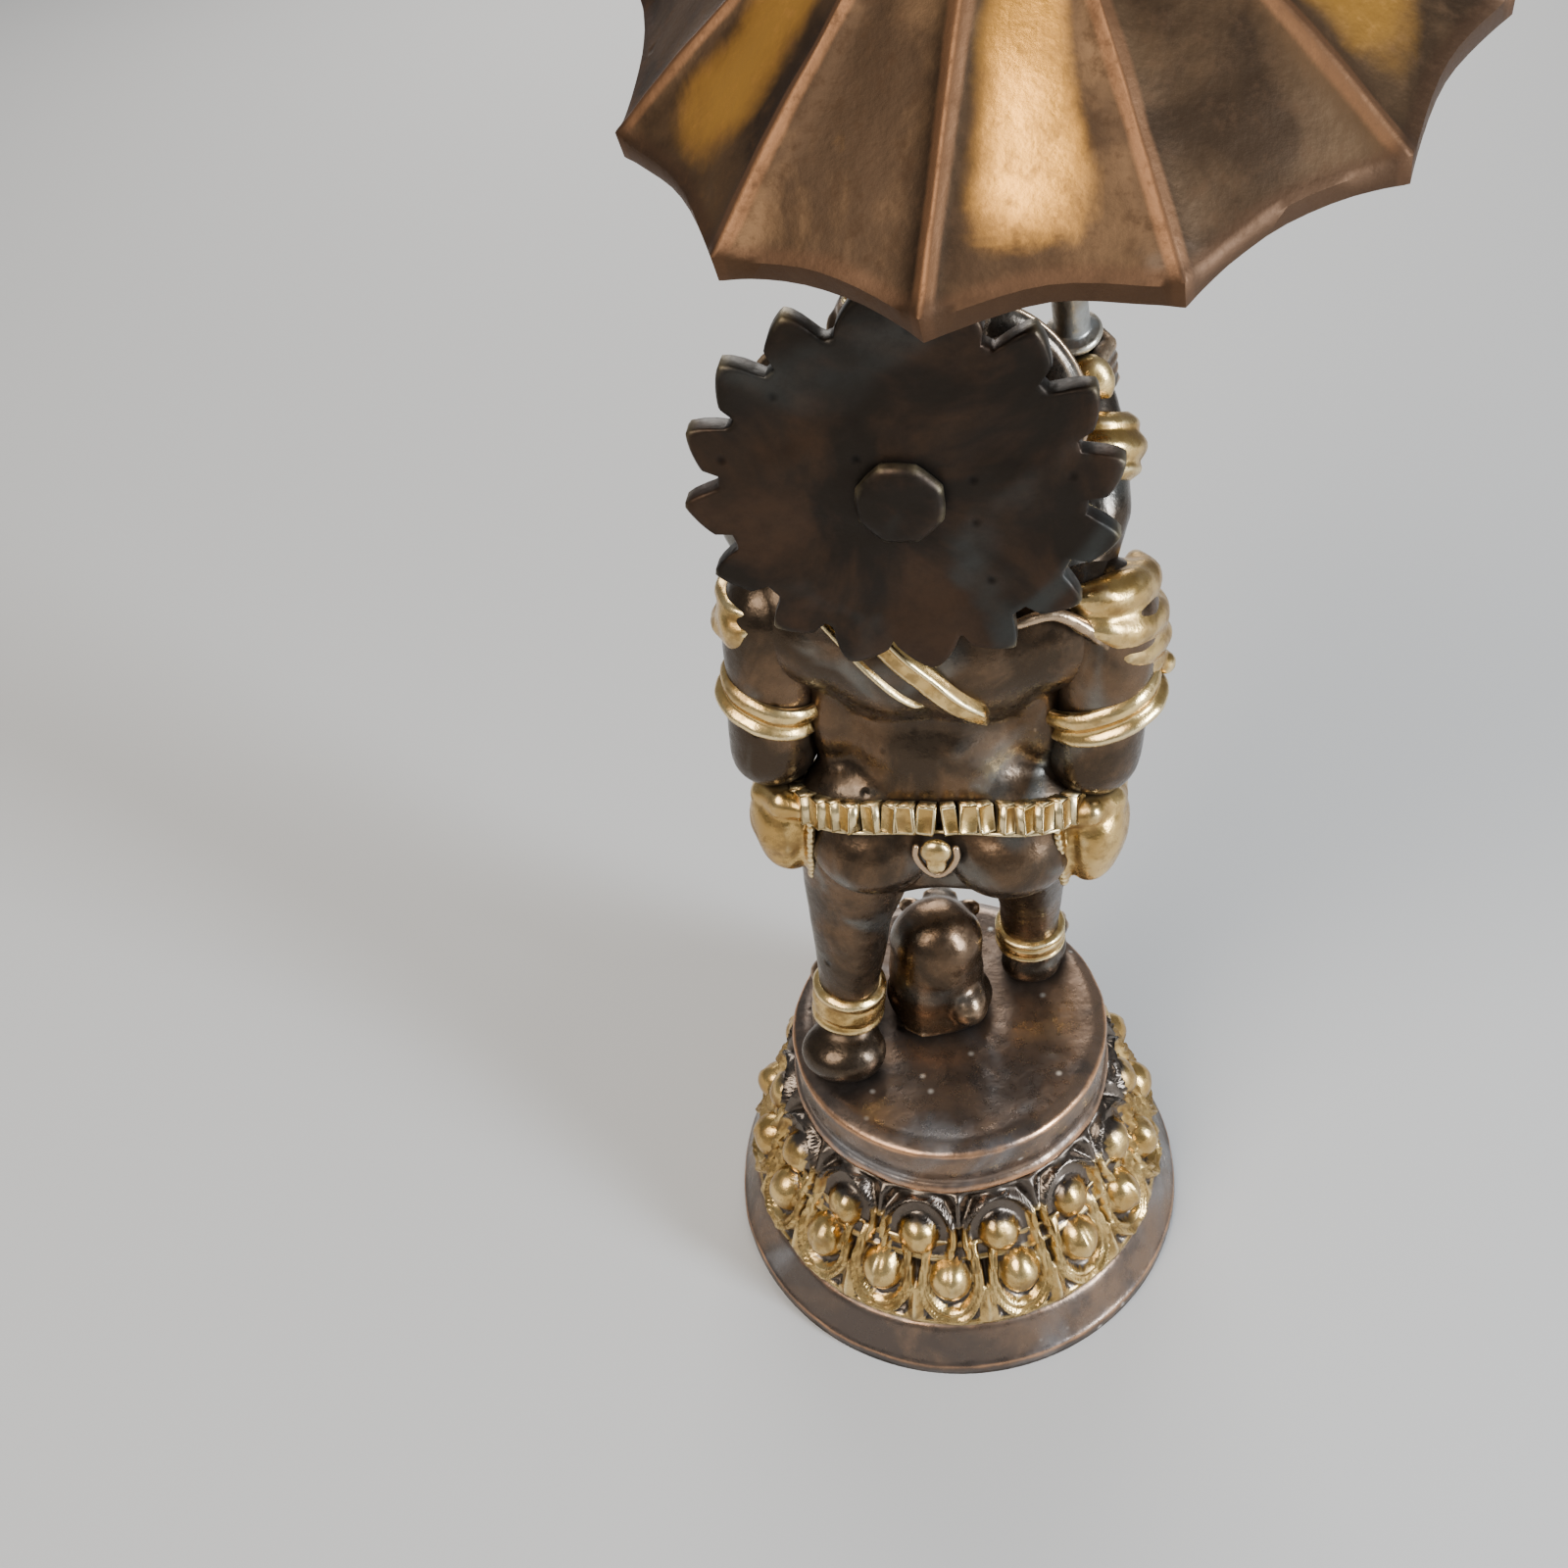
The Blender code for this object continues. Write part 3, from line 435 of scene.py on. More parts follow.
def add_forms(bm, forms):
    """Adds the closed shells of balls and limbs, still overlapping."""
    corners = []
    faces = []
    for start, start_radii, end, end_radii in forms:
        faces += rows_of_rings(SHELL_RINGS, len(corners))
        corners += ellipsoid(start, start_radii)
        if start != end:
            faces += rows_of_rings(SHELL_RINGS, len(corners))
            corners += ellipsoid(end, end_radii)
            faces += rows_of_rings(2, len(corners))
            corners += tapered(start, start_radii[0], end, end_radii[0])
    shells = bpy.data.meshes.new("shells")
    shells.from_pydata([place(corner) for corner in corners], [], faces)
    bm.from_mesh(shells)
    bpy.data.meshes.remove(shells)


def melt(obj, voxel, soften):
    """Melts overlapping shells into one skin and softens its corners."""
    skin = obj.modifiers.new("skin", "REMESH")
    skin.mode = "VOXEL"
    skin.voxel_size = voxel * MM
    even = obj.modifiers.new("even", "SMOOTH")
    even.factor = 0.5
    even.iterations = soften
    bake(obj)


def casting(name, forms, details=(), voxel=0.5, soften=16, fine=0.33, fine_soften=4):
    """A soft cast form, then finer details melted on to it."""
    bm = bmesh.new()
    add_forms(bm, forms)
    obj = new_object(name, bm)
    melt(obj, voxel, soften)
    if details:
        bm = bmesh.new()
        bm.from_mesh(obj.data)
        add_forms(bm, details)
        bm.to_mesh(obj.data)
        bm.free()
        melt(obj, fine, fine_soften)
    return obj


def coordinates(obj):
    co = np.empty(len(obj.data.vertices) * 3)
    obj.data.vertices.foreach_get("co", co)
    return co.reshape(-1, 3)


def set_coordinates(obj, co):
    obj.data.vertices.foreach_set("co", co.ravel())
    obj.data.update()


def dent(obj, centre, radii, push):
    """Moves the skin round a point by push, fading out over the radii."""
    co = coordinates(obj)
    away = (co - np.array(place(centre))) / (np.array(radii) * MM)
    share = np.exp(-(away ** 2).sum(1))
    set_coordinates(obj, co + share[:, None] * np.array(push) * MM)


def stand(body):
    """Cuts a casting level where it stands on the platform."""
    co = coordinates(body)
    co[:, 2] = np.maximum(co[:, 2], (PLATFORM_Z - 0.5) * MM)
    set_coordinates(body, co)


def hand_made(obj, size, height, seed=0.0):
    """Small lasting unevenness of a hand-finished casting, along the normals."""
    shift = Vector((seed, seed * 0.7, -seed))
    normals = [vert.normal.copy() for vert in obj.data.vertices]
    for vert, normal in zip(obj.data.vertices, normals):
        vert.co += normal * noise.noise(vert.co / (size * MM) + shift) * height * MM
    obj.data.update()


def ray_out(host, start, direction):
    hit, spot, _, _ = host.ray_cast(start, direction)
    return (spot - start).length if hit else 0.0


def skin_ring(host, centre, axis, steps, levels):
    """The axis, and for each step round it the way out and the host's skin distance, evened a little."""
    axis = Vector(axis).normalized()
    side = axis.cross(Vector((0, -1, 0))).normalized()
    ahead = side.cross(axis)
    middle = place(centre)
    outs = []
    skins = []
    for i in range(steps):
        angle = 2 * math.pi * i / steps
        out = side * math.cos(angle) + ahead * math.sin(angle)
        outs.append(out)
        skins.append(max(ray_out(host, middle + axis * level * MM, out) for level in levels))
    skins = np.array(skins)
    for _ in range(4):
        skins = (np.roll(skins, 1) + skins * 2 + np.roll(skins, -1)) / 4
    return axis, middle, outs, skins


def band(name, host, centre, axis, width, heights, steps=120):
    """A ring on the host's skin; heights is its section's rise over the skin, evenly spaced across it."""
    axis, middle, outs, skins = skin_ring(host, centre, axis, steps, (-width / 4, 0.0, width / 4))
    spread = np.linspace(-0.5, 0.5, len(heights))
    fine = np.linspace(-0.5, 0.5, 3 * len(heights))
    rise = np.interp(fine, spread, heights)
    for _ in range(2):
        rise[1:-1] = (rise[:-2] + 2 * rise[1:-1] + rise[2:]) / 4
    section = [(a * width, h) for a, h in zip(fine, rise)]
    section = [(section[0][0], BURIED)] + section + [(section[-1][0], BURIED)]
    bm = bmesh.new()
    rows = []
    for out, skin in zip(outs, skins):
        rows.append([bm.verts.new(middle + axis * a * MM + out * (skin + h * MM)) for a, h in section])
    join_rings(bm, rows, closed=True)
    return new_object(name, bm)


def turned(name, profile, steps=96, matrix=None):
    """A turned piece from (radius, height) points in millimetres."""
    bm = bmesh.new()
    rings = []
    for radius, height in profile:
        turns = [2 * math.pi * i / steps for i in range(steps if radius else 1)]
        rings.append([bm.verts.new(round_point(radius, turn, height)) for turn in turns])
    join_rings(bm, rings, closed=profile[0][0] > 0)
    if matrix:
        bm.transform(matrix)
    return new_object(name, bm)


def rounded(profile, size=0.35, points=3):
    """Rounds the corners of an open profile."""
    made = [profile[0]]
    for a, b, c in zip(profile, profile[1:], profile[2:]):
        a, b, c = Vector(a), Vector(b), Vector(c)
        into = min(size, (a - b).length * 0.45)
        out = min(size, (c - b).length * 0.45)
        start = b + (a - b).normalized() * into
        end = b + (c - b).normalized() * out
        for i in range(points + 1):
            t = i / points
            made.append(tuple(start * (1 - t) ** 2 + b * 2 * t * (1 - t) + end * t * t))
    return made + [profile[-1]]


def stepped(profile, longest):
    """Splits a profile's long runs, so that they can be made uneven."""
    made = [profile[0]]
    for a, b in zip(profile, profile[1:]):
        a, b = Vector(a), Vector(b)
        count = max(1, math.ceil((b - a).length / longest))
        made += [tuple(a.lerp(b, i / count)) for i in range(1, count + 1)]
    return made


# ------------------------------------------------------------------- pedestal

LOWER_COUNT = 18
LOWER_START = 3.6            # angle of one petal's middle, in degrees
LOWER_FOOT = (28.2, 7.2)     # radius and height of its lower and upper edge
LOWER_HEAD = (23.6, 18.8)
UPPER_COUNT = 14
UPPER_START = 96.6
UPPER_FOOT = (24.7, 16.4)
UPPER_HEAD = (20.9, 25.2)
PETAL_STEPS = 30             # columns of vertices across one petal
PETAL_ROWS = 34


def on_base(obj):
    """Sets a piece made round the Z axis on the pedestal's own, slightly squeezed, axis."""
    squeeze = Matrix.Diagonal((BASE_SQUASH, 1.0, 1.0, 1.0))
    obj.data.transform(Matrix.Translation((BASE_MIDDLE.x, BASE_MIDDLE.y, 0.0)) @ squeeze)
    return obj


def pedestal():
    """Hollow bell with a worn platform, a moulding under its rim and a splayed foot."""
    top = PLATFORM_Z
    outer = [(0.0, top - 0.1), (18.6, top), (20.7, top - 0.7), (20.6, top - 4.4), (20.2, top - 6.2),
             (20.9, top - 6.9), (21.0, top - 7.7), (20.2, top - 8.4), (20.1, 18.4), (21.2, 17.4),
             (24.8, 7.8), (27.9, 6.9), (28.5, 6.3), (30.4, 2.0), (FOOT_R, 1.4), (FOOT_R, 0.0)]
    inner = [(FOOT_R - 2.4, 0.0), (22.2, 7.0), (17.8, 18.0), (17.8, top - 2.4), (0.0, top - 2.4)]
    profile = stepped(rounded(outer, 0.7, 4), 1.2) + stepped(inner, 2.0)
    bell = on_base(turned("pedestal_bell", profile, 176))
    co = coordinates(bell)
    away = np.hypot((co[:, 0] - BASE_MIDDLE.x) / BASE_SQUASH, co[:, 1] - BASE_MIDDLE.y) / MM
    on_top = co[:, 2] > (PLATFORM_Z - 0.8) * MM
    co[:, 2] -= np.where(on_top, 0.45 * np.clip(1 - (away / 19.0) ** 4, 0, 1), 0.0) * MM
    set_coordinates(bell, co)
    grounded = co[:, 2] < 0.2 * MM
    hand_made(bell, 9.0, 0.30)
    hand_made(bell, 2.6, 0.07, 3.0)
    moved = coordinates(bell)
    moved[grounded] = co[grounded]
    moved[:, 2] = np.maximum(moved[:, 2], 0.0)
    set_coordinates(bell, moved)
    dress(bell, "base", "figure", "pedestal")


def petal_relief(u, v, point_up):
    """Height of one petal's relief: u runs -1..1 across it, v 0..1 from its foot to its tip."""
    seat = 0.36 if point_up else 0.42
    narrow = 1.0 + 0.5 * max(0.0, seat - v)
    reach = math.hypot(u * narrow, max(0.0, v - seat) / (1.0 - seat))
    if reach > 1.0:
        return -0.7
    rim = 1.6 * math.exp(-((reach - 0.89) / 0.085) ** 2)
    second = (0.0 if point_up else 1.2) * math.exp(-((reach - 0.72) / 0.06) ** 2)
    away = math.hypot(u / (0.50 if point_up else 0.62), (v - seat) / (0.30 if point_up else 0.26))
    boss = (1.9 if point_up else 2.9) * max(0.0, 1 - away * away) ** 0.6
    edge = min(1.0, (1.0 - reach) / 0.09)
    return -0.7 + (rim + second + 0.35) * edge + boss


def filler(u, v):
    """A small pointed leaf that shows between two petals."""
    across = (1.0 - abs(u)) / 0.30
    return 1.3 * (1.0 - across) - 0.4 if across < 1 and v > 0.5 else -2.0


def petal_ring(name, count, start, foot, head, point_up, node_name):
    """A sleeve of petals between its lower edge (foot) and upper edge (head), as (radius, height)."""
    columns = PETAL_STEPS * count
    bm = bmesh.new()
    bare_layer = bm.verts.layers.float.new("bare")
    slope = Vector((head[1] - foot[1], foot[0] - head[0])).normalized()
    sides = []
    for i in range(columns):
        angle = math.radians(start - 180.0 / count) + 2 * math.pi * i / columns
        u = (i / PETAL_STEPS + 0.5) % 1.0 * 2 - 1
        size = 1.0 + 0.07 * math.sin(i // PETAL_STEPS * 2.4 + 1.0)
        column = []
        for j in range(PETAL_ROWS + 1):
            t = j / PETAL_ROWS
            v = t if point_up else 1 - t
            rise = max(petal_relief(u, v, point_up) * size, filler(u, v) - 0.1)
            rise *= min(1.0, 9 * t + 0.1, 9 * (1 - t) + 0.1)
            radius = foot[0] + (head[0] - foot[0]) * t + slope.x * rise
            height = foot[1] + (head[1] - foot[1]) * t + slope.y * rise
            groove = 0.80 if rise < -0.3 else 0.42 if rise < 0.8 else 0.12
            column.append((radius, height, max(groove, min(0.85, 2.2 * v - 0.7)) if point_up else groove))
        column += [(head[0] - 0.8, head[1], 1.0), (foot[0] - 0.8, foot[1], 1.0)]
        side = []
        for radius, height, bare in column:
            side.append(bm.verts.new(round_point(radius, angle, height)))
            side[-1][bare_layer] = bare
        sides.append(side)
    join_rings(bm, sides, closed=True)
    ring = on_base(new_object(name, bm))
    hand_made(ring, 3.2, 0.22, count)
    return dress(ring, "gold", "figure", node_name)


# --------------------------------------------------------------------- figure

TORSO_X = -2.0               # the middles of the torso and of the head, which leans a little
HEAD_X = -2.4
EAR_SHEAR = 1.2              # how far an ear's top stands out from its middle
HIP_X = -1.6


def torso():
    forms = ball((-2, 1.2, 96), (14.4, 8.6, 10.5)) + ball((-2, 0.5, 103), (10.6, 6.6, 5.2))
    for side in (1, -1):
        forms += ball((TORSO_X + side * 14.0, 0.8, 99.5), (5.2, 6.0, 6.0))
        forms += ball((TORSO_X + side * 7.6, 4.2, 76.5), (7.4, 5.6, 5.4))
        forms += ball((TORSO_X + side * 7.2, 5.0, 71), (7.4, 7.2, 6.6))
        forms += ball((TORSO_X + side * 10.4, 0.4, 87.0), (4.0, 5.8, 9.0))
        forms += ball((TORSO_X + side * 10.6, 3.6, 97.6), (6.6, 4.6, 6.4))
    forms += ball((-1.8, 0.8, 84), (10.2, 8.4, 9)) + ball((-2, -6, 84.5), (12, 10, 12))
    forms += ball((-2, 1.5, 74), (13.4, 8.6, 7.2)) + ball((-2, 1.8, 80), (11.4, 7.4, 6.6))
    arch = limb((6.6, 3.6, 60.5, 1.8), (4.2, 4.6, 63.6, 1.9), (0.6, 5.4, 65.4, 1.9), (-4.4, 5.2, 65.4, 1.9),
                (-7.8, 3.6, 63.4, 1.9), (-9.6, 1.4, 60.5, 1.8))
    breasts = ball((3.4, -6.2, 97), (4.8, 3.4, 4.2)) + ball((-7.4, -6.2, 97), (4.8, 3.4, 4.2))
    body = casting("torso_casting", forms, arch + breasts, soften=22, fine=0.42, fine_soften=10)
    dent(body, (-2.0, 13.0, 70.5), (1.3, 6.0, 5.0), (0, -2.4, 0))
    dent(body, (-2.0, 10.0, 92.0), (2.0, 4.0, 9.0), (0, -0.7, 0))
    dent(body, (-2.0, -16.5, 84.0), (1.3, 3.0, 1.3), (0, 1.8, 0))
    dent(body, (-2.0, -16.0, 91.0), (9.0, 5.0, 1.1), (0, 0.5, 0))
    for side in (1, -1):
        dent(body, (TORSO_X + side * 7.0, 9.0, 98.0), (4.4, 4.0, 5.0), (0, 0.5, 0))
    hand_made(body, 7.0, 0.30, 1.0)
    return dress(body, "skin", "figure", "torso")


def leg(name, joints, foot, heel, toes, node_name):
    """A stout leg on its foot, cut level where it stands on the platform."""
    forms = limb(*joints) + foot + heel
    body = casting(name, forms, toes, soften=12, fine=0.36, fine_soften=4)
    stand(body)
    hand_made(body, 5.0, 0.18, 2.0)
    return dress(body, "skin", "figure", node_name)


def toes(x, y, turn):
    """Five toes, the big one on the inner side."""
    row = []
    for i in range(5):
        across = (i - 2.0) * 1.55
        size = 1.35 if i == (0 if turn > 0 else 4) else 0.95
        middle = (x + across, y + 0.35 * abs(i - 1.5), PLATFORM_Z + size * 0.8)
        row += ball(middle, (size * 0.85, size * 1.3, size * 0.8))
    return row


def legs():
    left = leg("left_leg_casting",
               [(7.2, 2.2, 68, 7.4), (9.0, 3.8, 57, 4.9), (9.9, 4.8, 46, 3.8), (10.6, 5.4, 37.5, 3.6)],
               ball((11.6, 1.0, 35.4), (4.5, 8.0, 2.7)) + ball((12.4, -5.0, 35.0), (4.8, 3.4, 2.1)),
               ball((10.9, 8.2, 36.2), (5.4, 4.6, 3.6)), toes(12.4, -8.0, 1), "left_leg")
    right = leg("right_leg_casting",
                [(-10.2, -0.6, 68, 7.4), (-11.0, -5.4, 58, 5.0), (-11.2, -8.0, 47, 3.9),
                 (-11.2, -8.6, 37.5, 3.4)],
                ball((-11.4, -11.0, 35.4), (4.4, 5.6, 2.7)) + ball((-11.8, -14.6, 35.0), (4.4, 3.0, 2.1)),
                ball((-11.2, -7.6, 35.8), (3.9, 3.0, 2.8)), toes(-11.8, -17.2, -1), "right_leg")
    return left, right


def finger_row(roots, tips, size):
    """Fingers from each root to its tip, bent a little at the knuckle."""
    row = []
    for root, tip in zip(roots, tips):
        bend = [(a + b) / 2 for a, b in zip(root, tip)]
        row += limb((*root, size), (bend[0], bend[1], bend[2] + 0.25, size * 0.97), (*tip, size * 0.78))
    return row


def lower_left_arm():
    """Bent forward at the elbow, the open hand holds a sweet that the trunk reaches for."""
    arm = limb((13.8, 1.4, 99, 5.6), (14.8, 2.3, 90, 4.9), (15.6, 2.8, 82, 4.8), (12.8, -9.0, 80.4, 3.6),
               (9.8, -16.2, 83.4, 2.6))
    palm = ball((8.8, -18.2, 84.0), (3.3, 3.2, 1.5))
    roots = [(6.6 + 1.5 * i, -20.0, 84.0) for i in range(4)]
    tips = [(6.2 + 1.6 * i, -21.0, 87.0) for i in range(4)]
    sweet = ball((8.9, -18.0, 87.0), (2.3, 2.2, 2.0)) + ball((8.9, -18.0, 89.0), (0.9, 0.9, 0.9))
    thumb = limb((11.4, -17.6, 84.4, 0.9), (11.9, -18.2, 87.0, 0.75))
    details = finger_row(roots, tips, 0.85) + sweet + thumb
    body = casting("lower_left_arm_casting", arm + palm, details, soften=10, fine=0.3)
    hand_made(body, 5.0, 0.16, 4.0)
    return dress(body, "skin", "figure", "lower_left_arm")


def lower_right_arm():
    """Bent forward at the elbow, its palm raised to the front; an edge rims the shoulder."""
    arm = limb((-18.4, 1.4, 98.6, 5.8), (-18.9, 2.3, 90, 5.0), (-18.2, 2.8, 81.8, 4.8),
               (-17.6, -9.4, 80.4, 3.6), (-16.4, -16.2, 83.0, 2.6))
    palm = ball((-16.1, -17.5, 86.4), (2.9, 1.5, 3.0))
    roots = [(-18.3 + 1.45 * i, -17.6, 88.0) for i in range(4)]
    tips = [(-18.7 + 1.6 * i, -17.3, 91.4 + (0.6 if i in (1, 2) else 0.0)) for i in range(4)]
    thumb = limb((-13.6, -17.6, 85.4, 0.9), (-12.8, -18.0, 88.2, 0.72))
    edge = smooth_limb([(-10.5, 8.4, 102.5, 0.5), (-13.8, 7.7, 103.2, 0.7), (-16.3, 7.2, 101.8, 0.8),
                        (-18.9, 6.6, 99.0, 0.7), (-21.4, 5.2, 94.3, 0.5)])
    details = finger_row(roots, tips, 0.82) + thumb + edge
    body = casting("lower_right_arm_casting", arm + palm, details, soften=10, fine=0.3)
    hand_made(body, 5.0, 0.16, 5.0)
    return dress(body, "skin", "figure", "lower_right_arm")


def upper_left_arm():
    """Raised beside the head, the fist closed."""
    arm = limb((11.6, -1.6, 103, 5.0), (15.4, -5.0, 105.5, 4.3), (14.6, -11.0, 109.5, 3.2),
               (13.6, -13.6, 113.5, 2.6))
    fist = ball((13.3, -14.3, 115.3), (2.5, 2.4, 2.4))
    knuckles = []
    for i in range(4):
        knuckles += limb((11.5 + 1.2 * i, -14.4, 117.2, 0.8), (11.4 + 1.2 * i, -16.2, 116.0, 0.8),
                         (11.6 + 1.2 * i, -16.0, 114.4, 0.7))
    body = casting("upper_left_arm_casting", arm + fist, knuckles, soften=8, fine=0.3)
    return dress(body, "skin", "figure", "upper_left_arm")


def on_staff(radius, degrees, height):
    """A point round the parasol's axis, in figure millimetres; height counts from the rim plane."""
    world = CANOPY_PLACE @ Vector(round_point(radius, math.radians(degrees), height))
    return tuple((world - ORIGIN) / MM)


def upper_right_arm():
    """Raised beside the head, the fingers closed round the staff."""
    arm = limb((-14.8, -1.6, 102.6, 5.0), (-17.0, -4.2, 107, 4.2), (-17.1, -8.2, 112.2, 3.5),
               (-16.6, -10.2, 115, 3.0))
    palm = ball(on_staff(2.6, 60, -40.2), (2.3, 2.2, 3.6))
    fingers = []
    for i in range(4):
        around = [on_staff(3.1, 60 + 62 * k, -37.9 - 1.5 * i) for k in range(5)]
        fingers += limb(*[(*point, 1.0 - 0.05 * k) for k, point in enumerate(around)])
    body = casting("upper_right_arm_casting", arm + palm, fingers, soften=8, fine=0.3, fine_soften=3)
    bore_r = 1.95
    drill = [(0.0, 30.0), (bore_r, 30.0), (bore_r, -60.0), (0.0, -60.0)]
    bore = turned("staff_bore", drill, 40, CANOPY_PLACE)
    cut = body.modifiers.new("bore", "BOOLEAN")
    cut.operation = "DIFFERENCE"
    cut.object = bore
    bake(body)
    bpy.data.objects.remove(bore)
    gilding = ball((-16.6, -9.4, 117.4), (2.7, 1.7, 3.1)) + ball((-18.0, -10.6, 116.6), (1.3, 1.3, 1.3))
    plate = casting("fist_gilding", gilding, voxel=0.36, soften=4)
    dress(plate, "gold", "figure")
    return dress(body, "skin", "figure", "upper_right_arm")


def mouse():
    """The animal that sits between the feet, its back to the figure's heels."""
    forms = ball((0.2, -2.2, 40.0), (6.0, 5.8, 8.4)) + ball((0.0, -2.8, 44.8), (5.9, 5.4, 5.4))
    forms += ball((0.0, -8.0, 44.2), (2.7, 4.2, 2.5)) + ball((0.0, -2.4, 35.0), (6.8, 6.4, 3.2))
    parts = ball((-3.9, 0.8, 37.6), (2.6, 3.2, 3.0)) + ball((3.6, -1.6, 36.2), (3.0, 3.4, 3.2))
    parts += limb((-1.0, 3.0, 34.6, 0.8), (1.6, 3.6, 34.2, 0.7), (3.8, 2.6, 34.0, 0.5))
    for side in (1, -1):
        parts += ball((side * 3.8, -7.6, 45.4), (1.6, 0.8, 1.7))
        parts += ball((side * 1.7, -9.6, 45.6), (0.6, 0.6, 0.6))
        parts += limb((side * 3.4, -7.0, 42.0, 1.5), (side * 1.8, -9.6, 41.4, 1.1))
    parts += ball((0.0, -12.0, 44.0), (0.8, 0.7, 0.6))
    body = casting("mouse_casting", forms, parts, soften=16, fine=0.38, fine_soften=12)
    stand(body)
    hand_made(body, 5.0, 0.25, 6.0)
    return dress(body, "skin", "figure", "mouse")


def head():
    """Domed elephant's head with heavy brows, narrow eyes and cheeks."""
    forms = ball((-2.4, -2.0, 118.5), (10.4, 10.2, 10.0)) + ball((-2.2, -4.5, 112.5), (9.0, 8.6, 6.5))
    forms += ball((1.4, -5.5, 122.4), (4.6, 4.6, 4.6)) + ball((-6.2, -5.5, 122.4), (4.6, 4.6, 4.6))
    forms += ball((-2.2, -1.0, 107.8), (6.6, 6.0, 4.0))
    face = []
    for side in (1, -1):
        x = HEAD_X + side * 5.6
        face += limb((x - side * 2.2, -11.2, 119.0, 0.5), (x, -10.9, 119.9, 0.6),
                     (x + side * 2.2, -9.0, 119.2, 0.4))
        face += ball((x, -10.3, 117.6), (1.5, 0.9, 0.75))
        face += limb((x - side * 1.7, -11.0, 117.4, 0.3), (x, -11.1, 116.9, 0.35),
                     (x + side * 1.8, -9.6, 117.5, 0.3))
        face += ball((x - side * 0.4, -10.2, 111.6), (2.6, 2.2, 2.6))
    face += limb((-2.3, -10.6, 124.0, 1.0), (-2.3, -11.6, 119.5, 1.3))
    body = casting("head_casting", forms, face, soften=14, fine=0.33, fine_soften=4)
    hand_made(body, 6.0, 0.18, 7.0)
    return dress(body, "skin", "figure", "head")


def trunk():
    joints = [(-2.3, -9.5, 117.0, 4.4), (-2.3, -11.9, 113.5, 4.2), (-2.2, -15.4, 106.5, 3.6),
              (-1.4, -18.2, 98.5, 3.0), (1.4, -19.4, 92.9, 2.5), (4.8, -19.2, 91.0, 2.1),
              (7.2, -18.9, 92.4, 1.8)]
    body = casting("trunk_casting", smooth_limb(joints, 12, 0.06, 20), voxel=0.34, soften=3)
    dent(body, (8.0, -18.7, 94.2), (0.9, 0.9, 1.0), (-0.5, 0, -1.2))
    return dress(body, "skin", "figure", "trunk")


def ear(name, side, out, lean, rise, node_name):
    """Fan-shaped flap with a rolled rim and soft folds, rooted on the head's side."""
    rows = 26
    columns = 64
    wide = 6.6
    tall = 9.6
    front = []
    back = []
    for j in range(rows + 1):
        reach = j / rows
        roll = 0.7 * math.exp(-((reach - 0.93) / 0.06) ** 2)
        thick = 0.75 * (1 - reach ** 6) + 0.25 if reach < 1 else 0.0
        for facing, grid in ((1.0, front), (-1.0, back)):
            ring = []
            for i in range(columns if j else 1):
                angle = 2 * math.pi * i / columns
                x = wide * reach * math.cos(angle)
                z = tall * reach * math.sin(angle)
                fold = 0.10 * math.sin(angle * 7 + 0.6) * reach ** 2
                y = 1.6 * (x / wide) ** 2 + fold - roll * 0.5 - facing * thick
                ring.append(Vector((x + side * EAR_SHEAR * (z / tall), y, z)) * MM)
            grid.append(ring)
    bm = bmesh.new()
    join_rings(bm, [[bm.verts.new(point) for point in ring] for ring in front + back[-2::-1]])
    turn = Matrix.Rotation(math.radians(lean), 4, "Y") @ Matrix.Rotation(math.radians(-side * 18), 4, "Z")
    root = place((HEAD_X + side * out, 1.0, 117.0 + rise))
    bm.transform(Matrix.Translation(root) @ turn @ Matrix.Diagonal((side, 1, 1, 1)))
    return dress(new_object(name, bm), "skin", "figure", node_name)


def tusk(name, side, length, node_name):
    joints = [(HEAD_X + side * 5.4, -11.0, 112.0, 1.5), (HEAD_X + side * 6.0, -13.6, 110.4, 1.25),
              (HEAD_X + side * 6.9, -13.6 - length * 0.45, 109.2, 0.9 if length < 5 else 0.55)]
    body = casting(name, smooth_limb(joints, 8), voxel=0.22, soften=2)
    return dress(body, "gold", "figure", node_name)


def beads(name, points, size):
    """Small gilt beads at world points."""
    bm = bmesh.new()
    for point in points:
        bmesh.ops.create_icosphere(bm, subdivisions=3, radius=size * MM, matrix=Matrix.Translation(point))
    dress(new_object(name, bm), "gold", "figure")


def carve_leaves(body, foot):
    """Cuts a row of upright leaves into each step of the crown."""
    co = coordinates(body)
    local = co - np.array(foot)
    angle = np.arctan2(local[:, 1], local[:, 0])
    radius = np.hypot(local[:, 0], local[:, 1]) / MM
    height = local[:, 2] / MM
    for bottom, top, count, depth in ((2.8, 6.3, 16, 0.55), (7.6, 10.9, 14, 0.5), (12.3, 15.0, 12, 0.4)):
        share = np.clip((height - bottom) / (top - bottom), 0, 1)
        inside = (height > bottom) & (height < top)
        leaf = np.abs(np.cos(angle * count / 2))
        carved = np.where(inside, np.clip((leaf - share) * 3, -1, 1) * depth, 0.0)
        scale = 1 + np.where(radius > 0.1, carved * np.sin(np.pi * share) / np.maximum(radius, 0.1), 0)
        local[:, 0] *= scale
        local[:, 1] *= scale
    set_coordinates(body, local + np.array(foot))


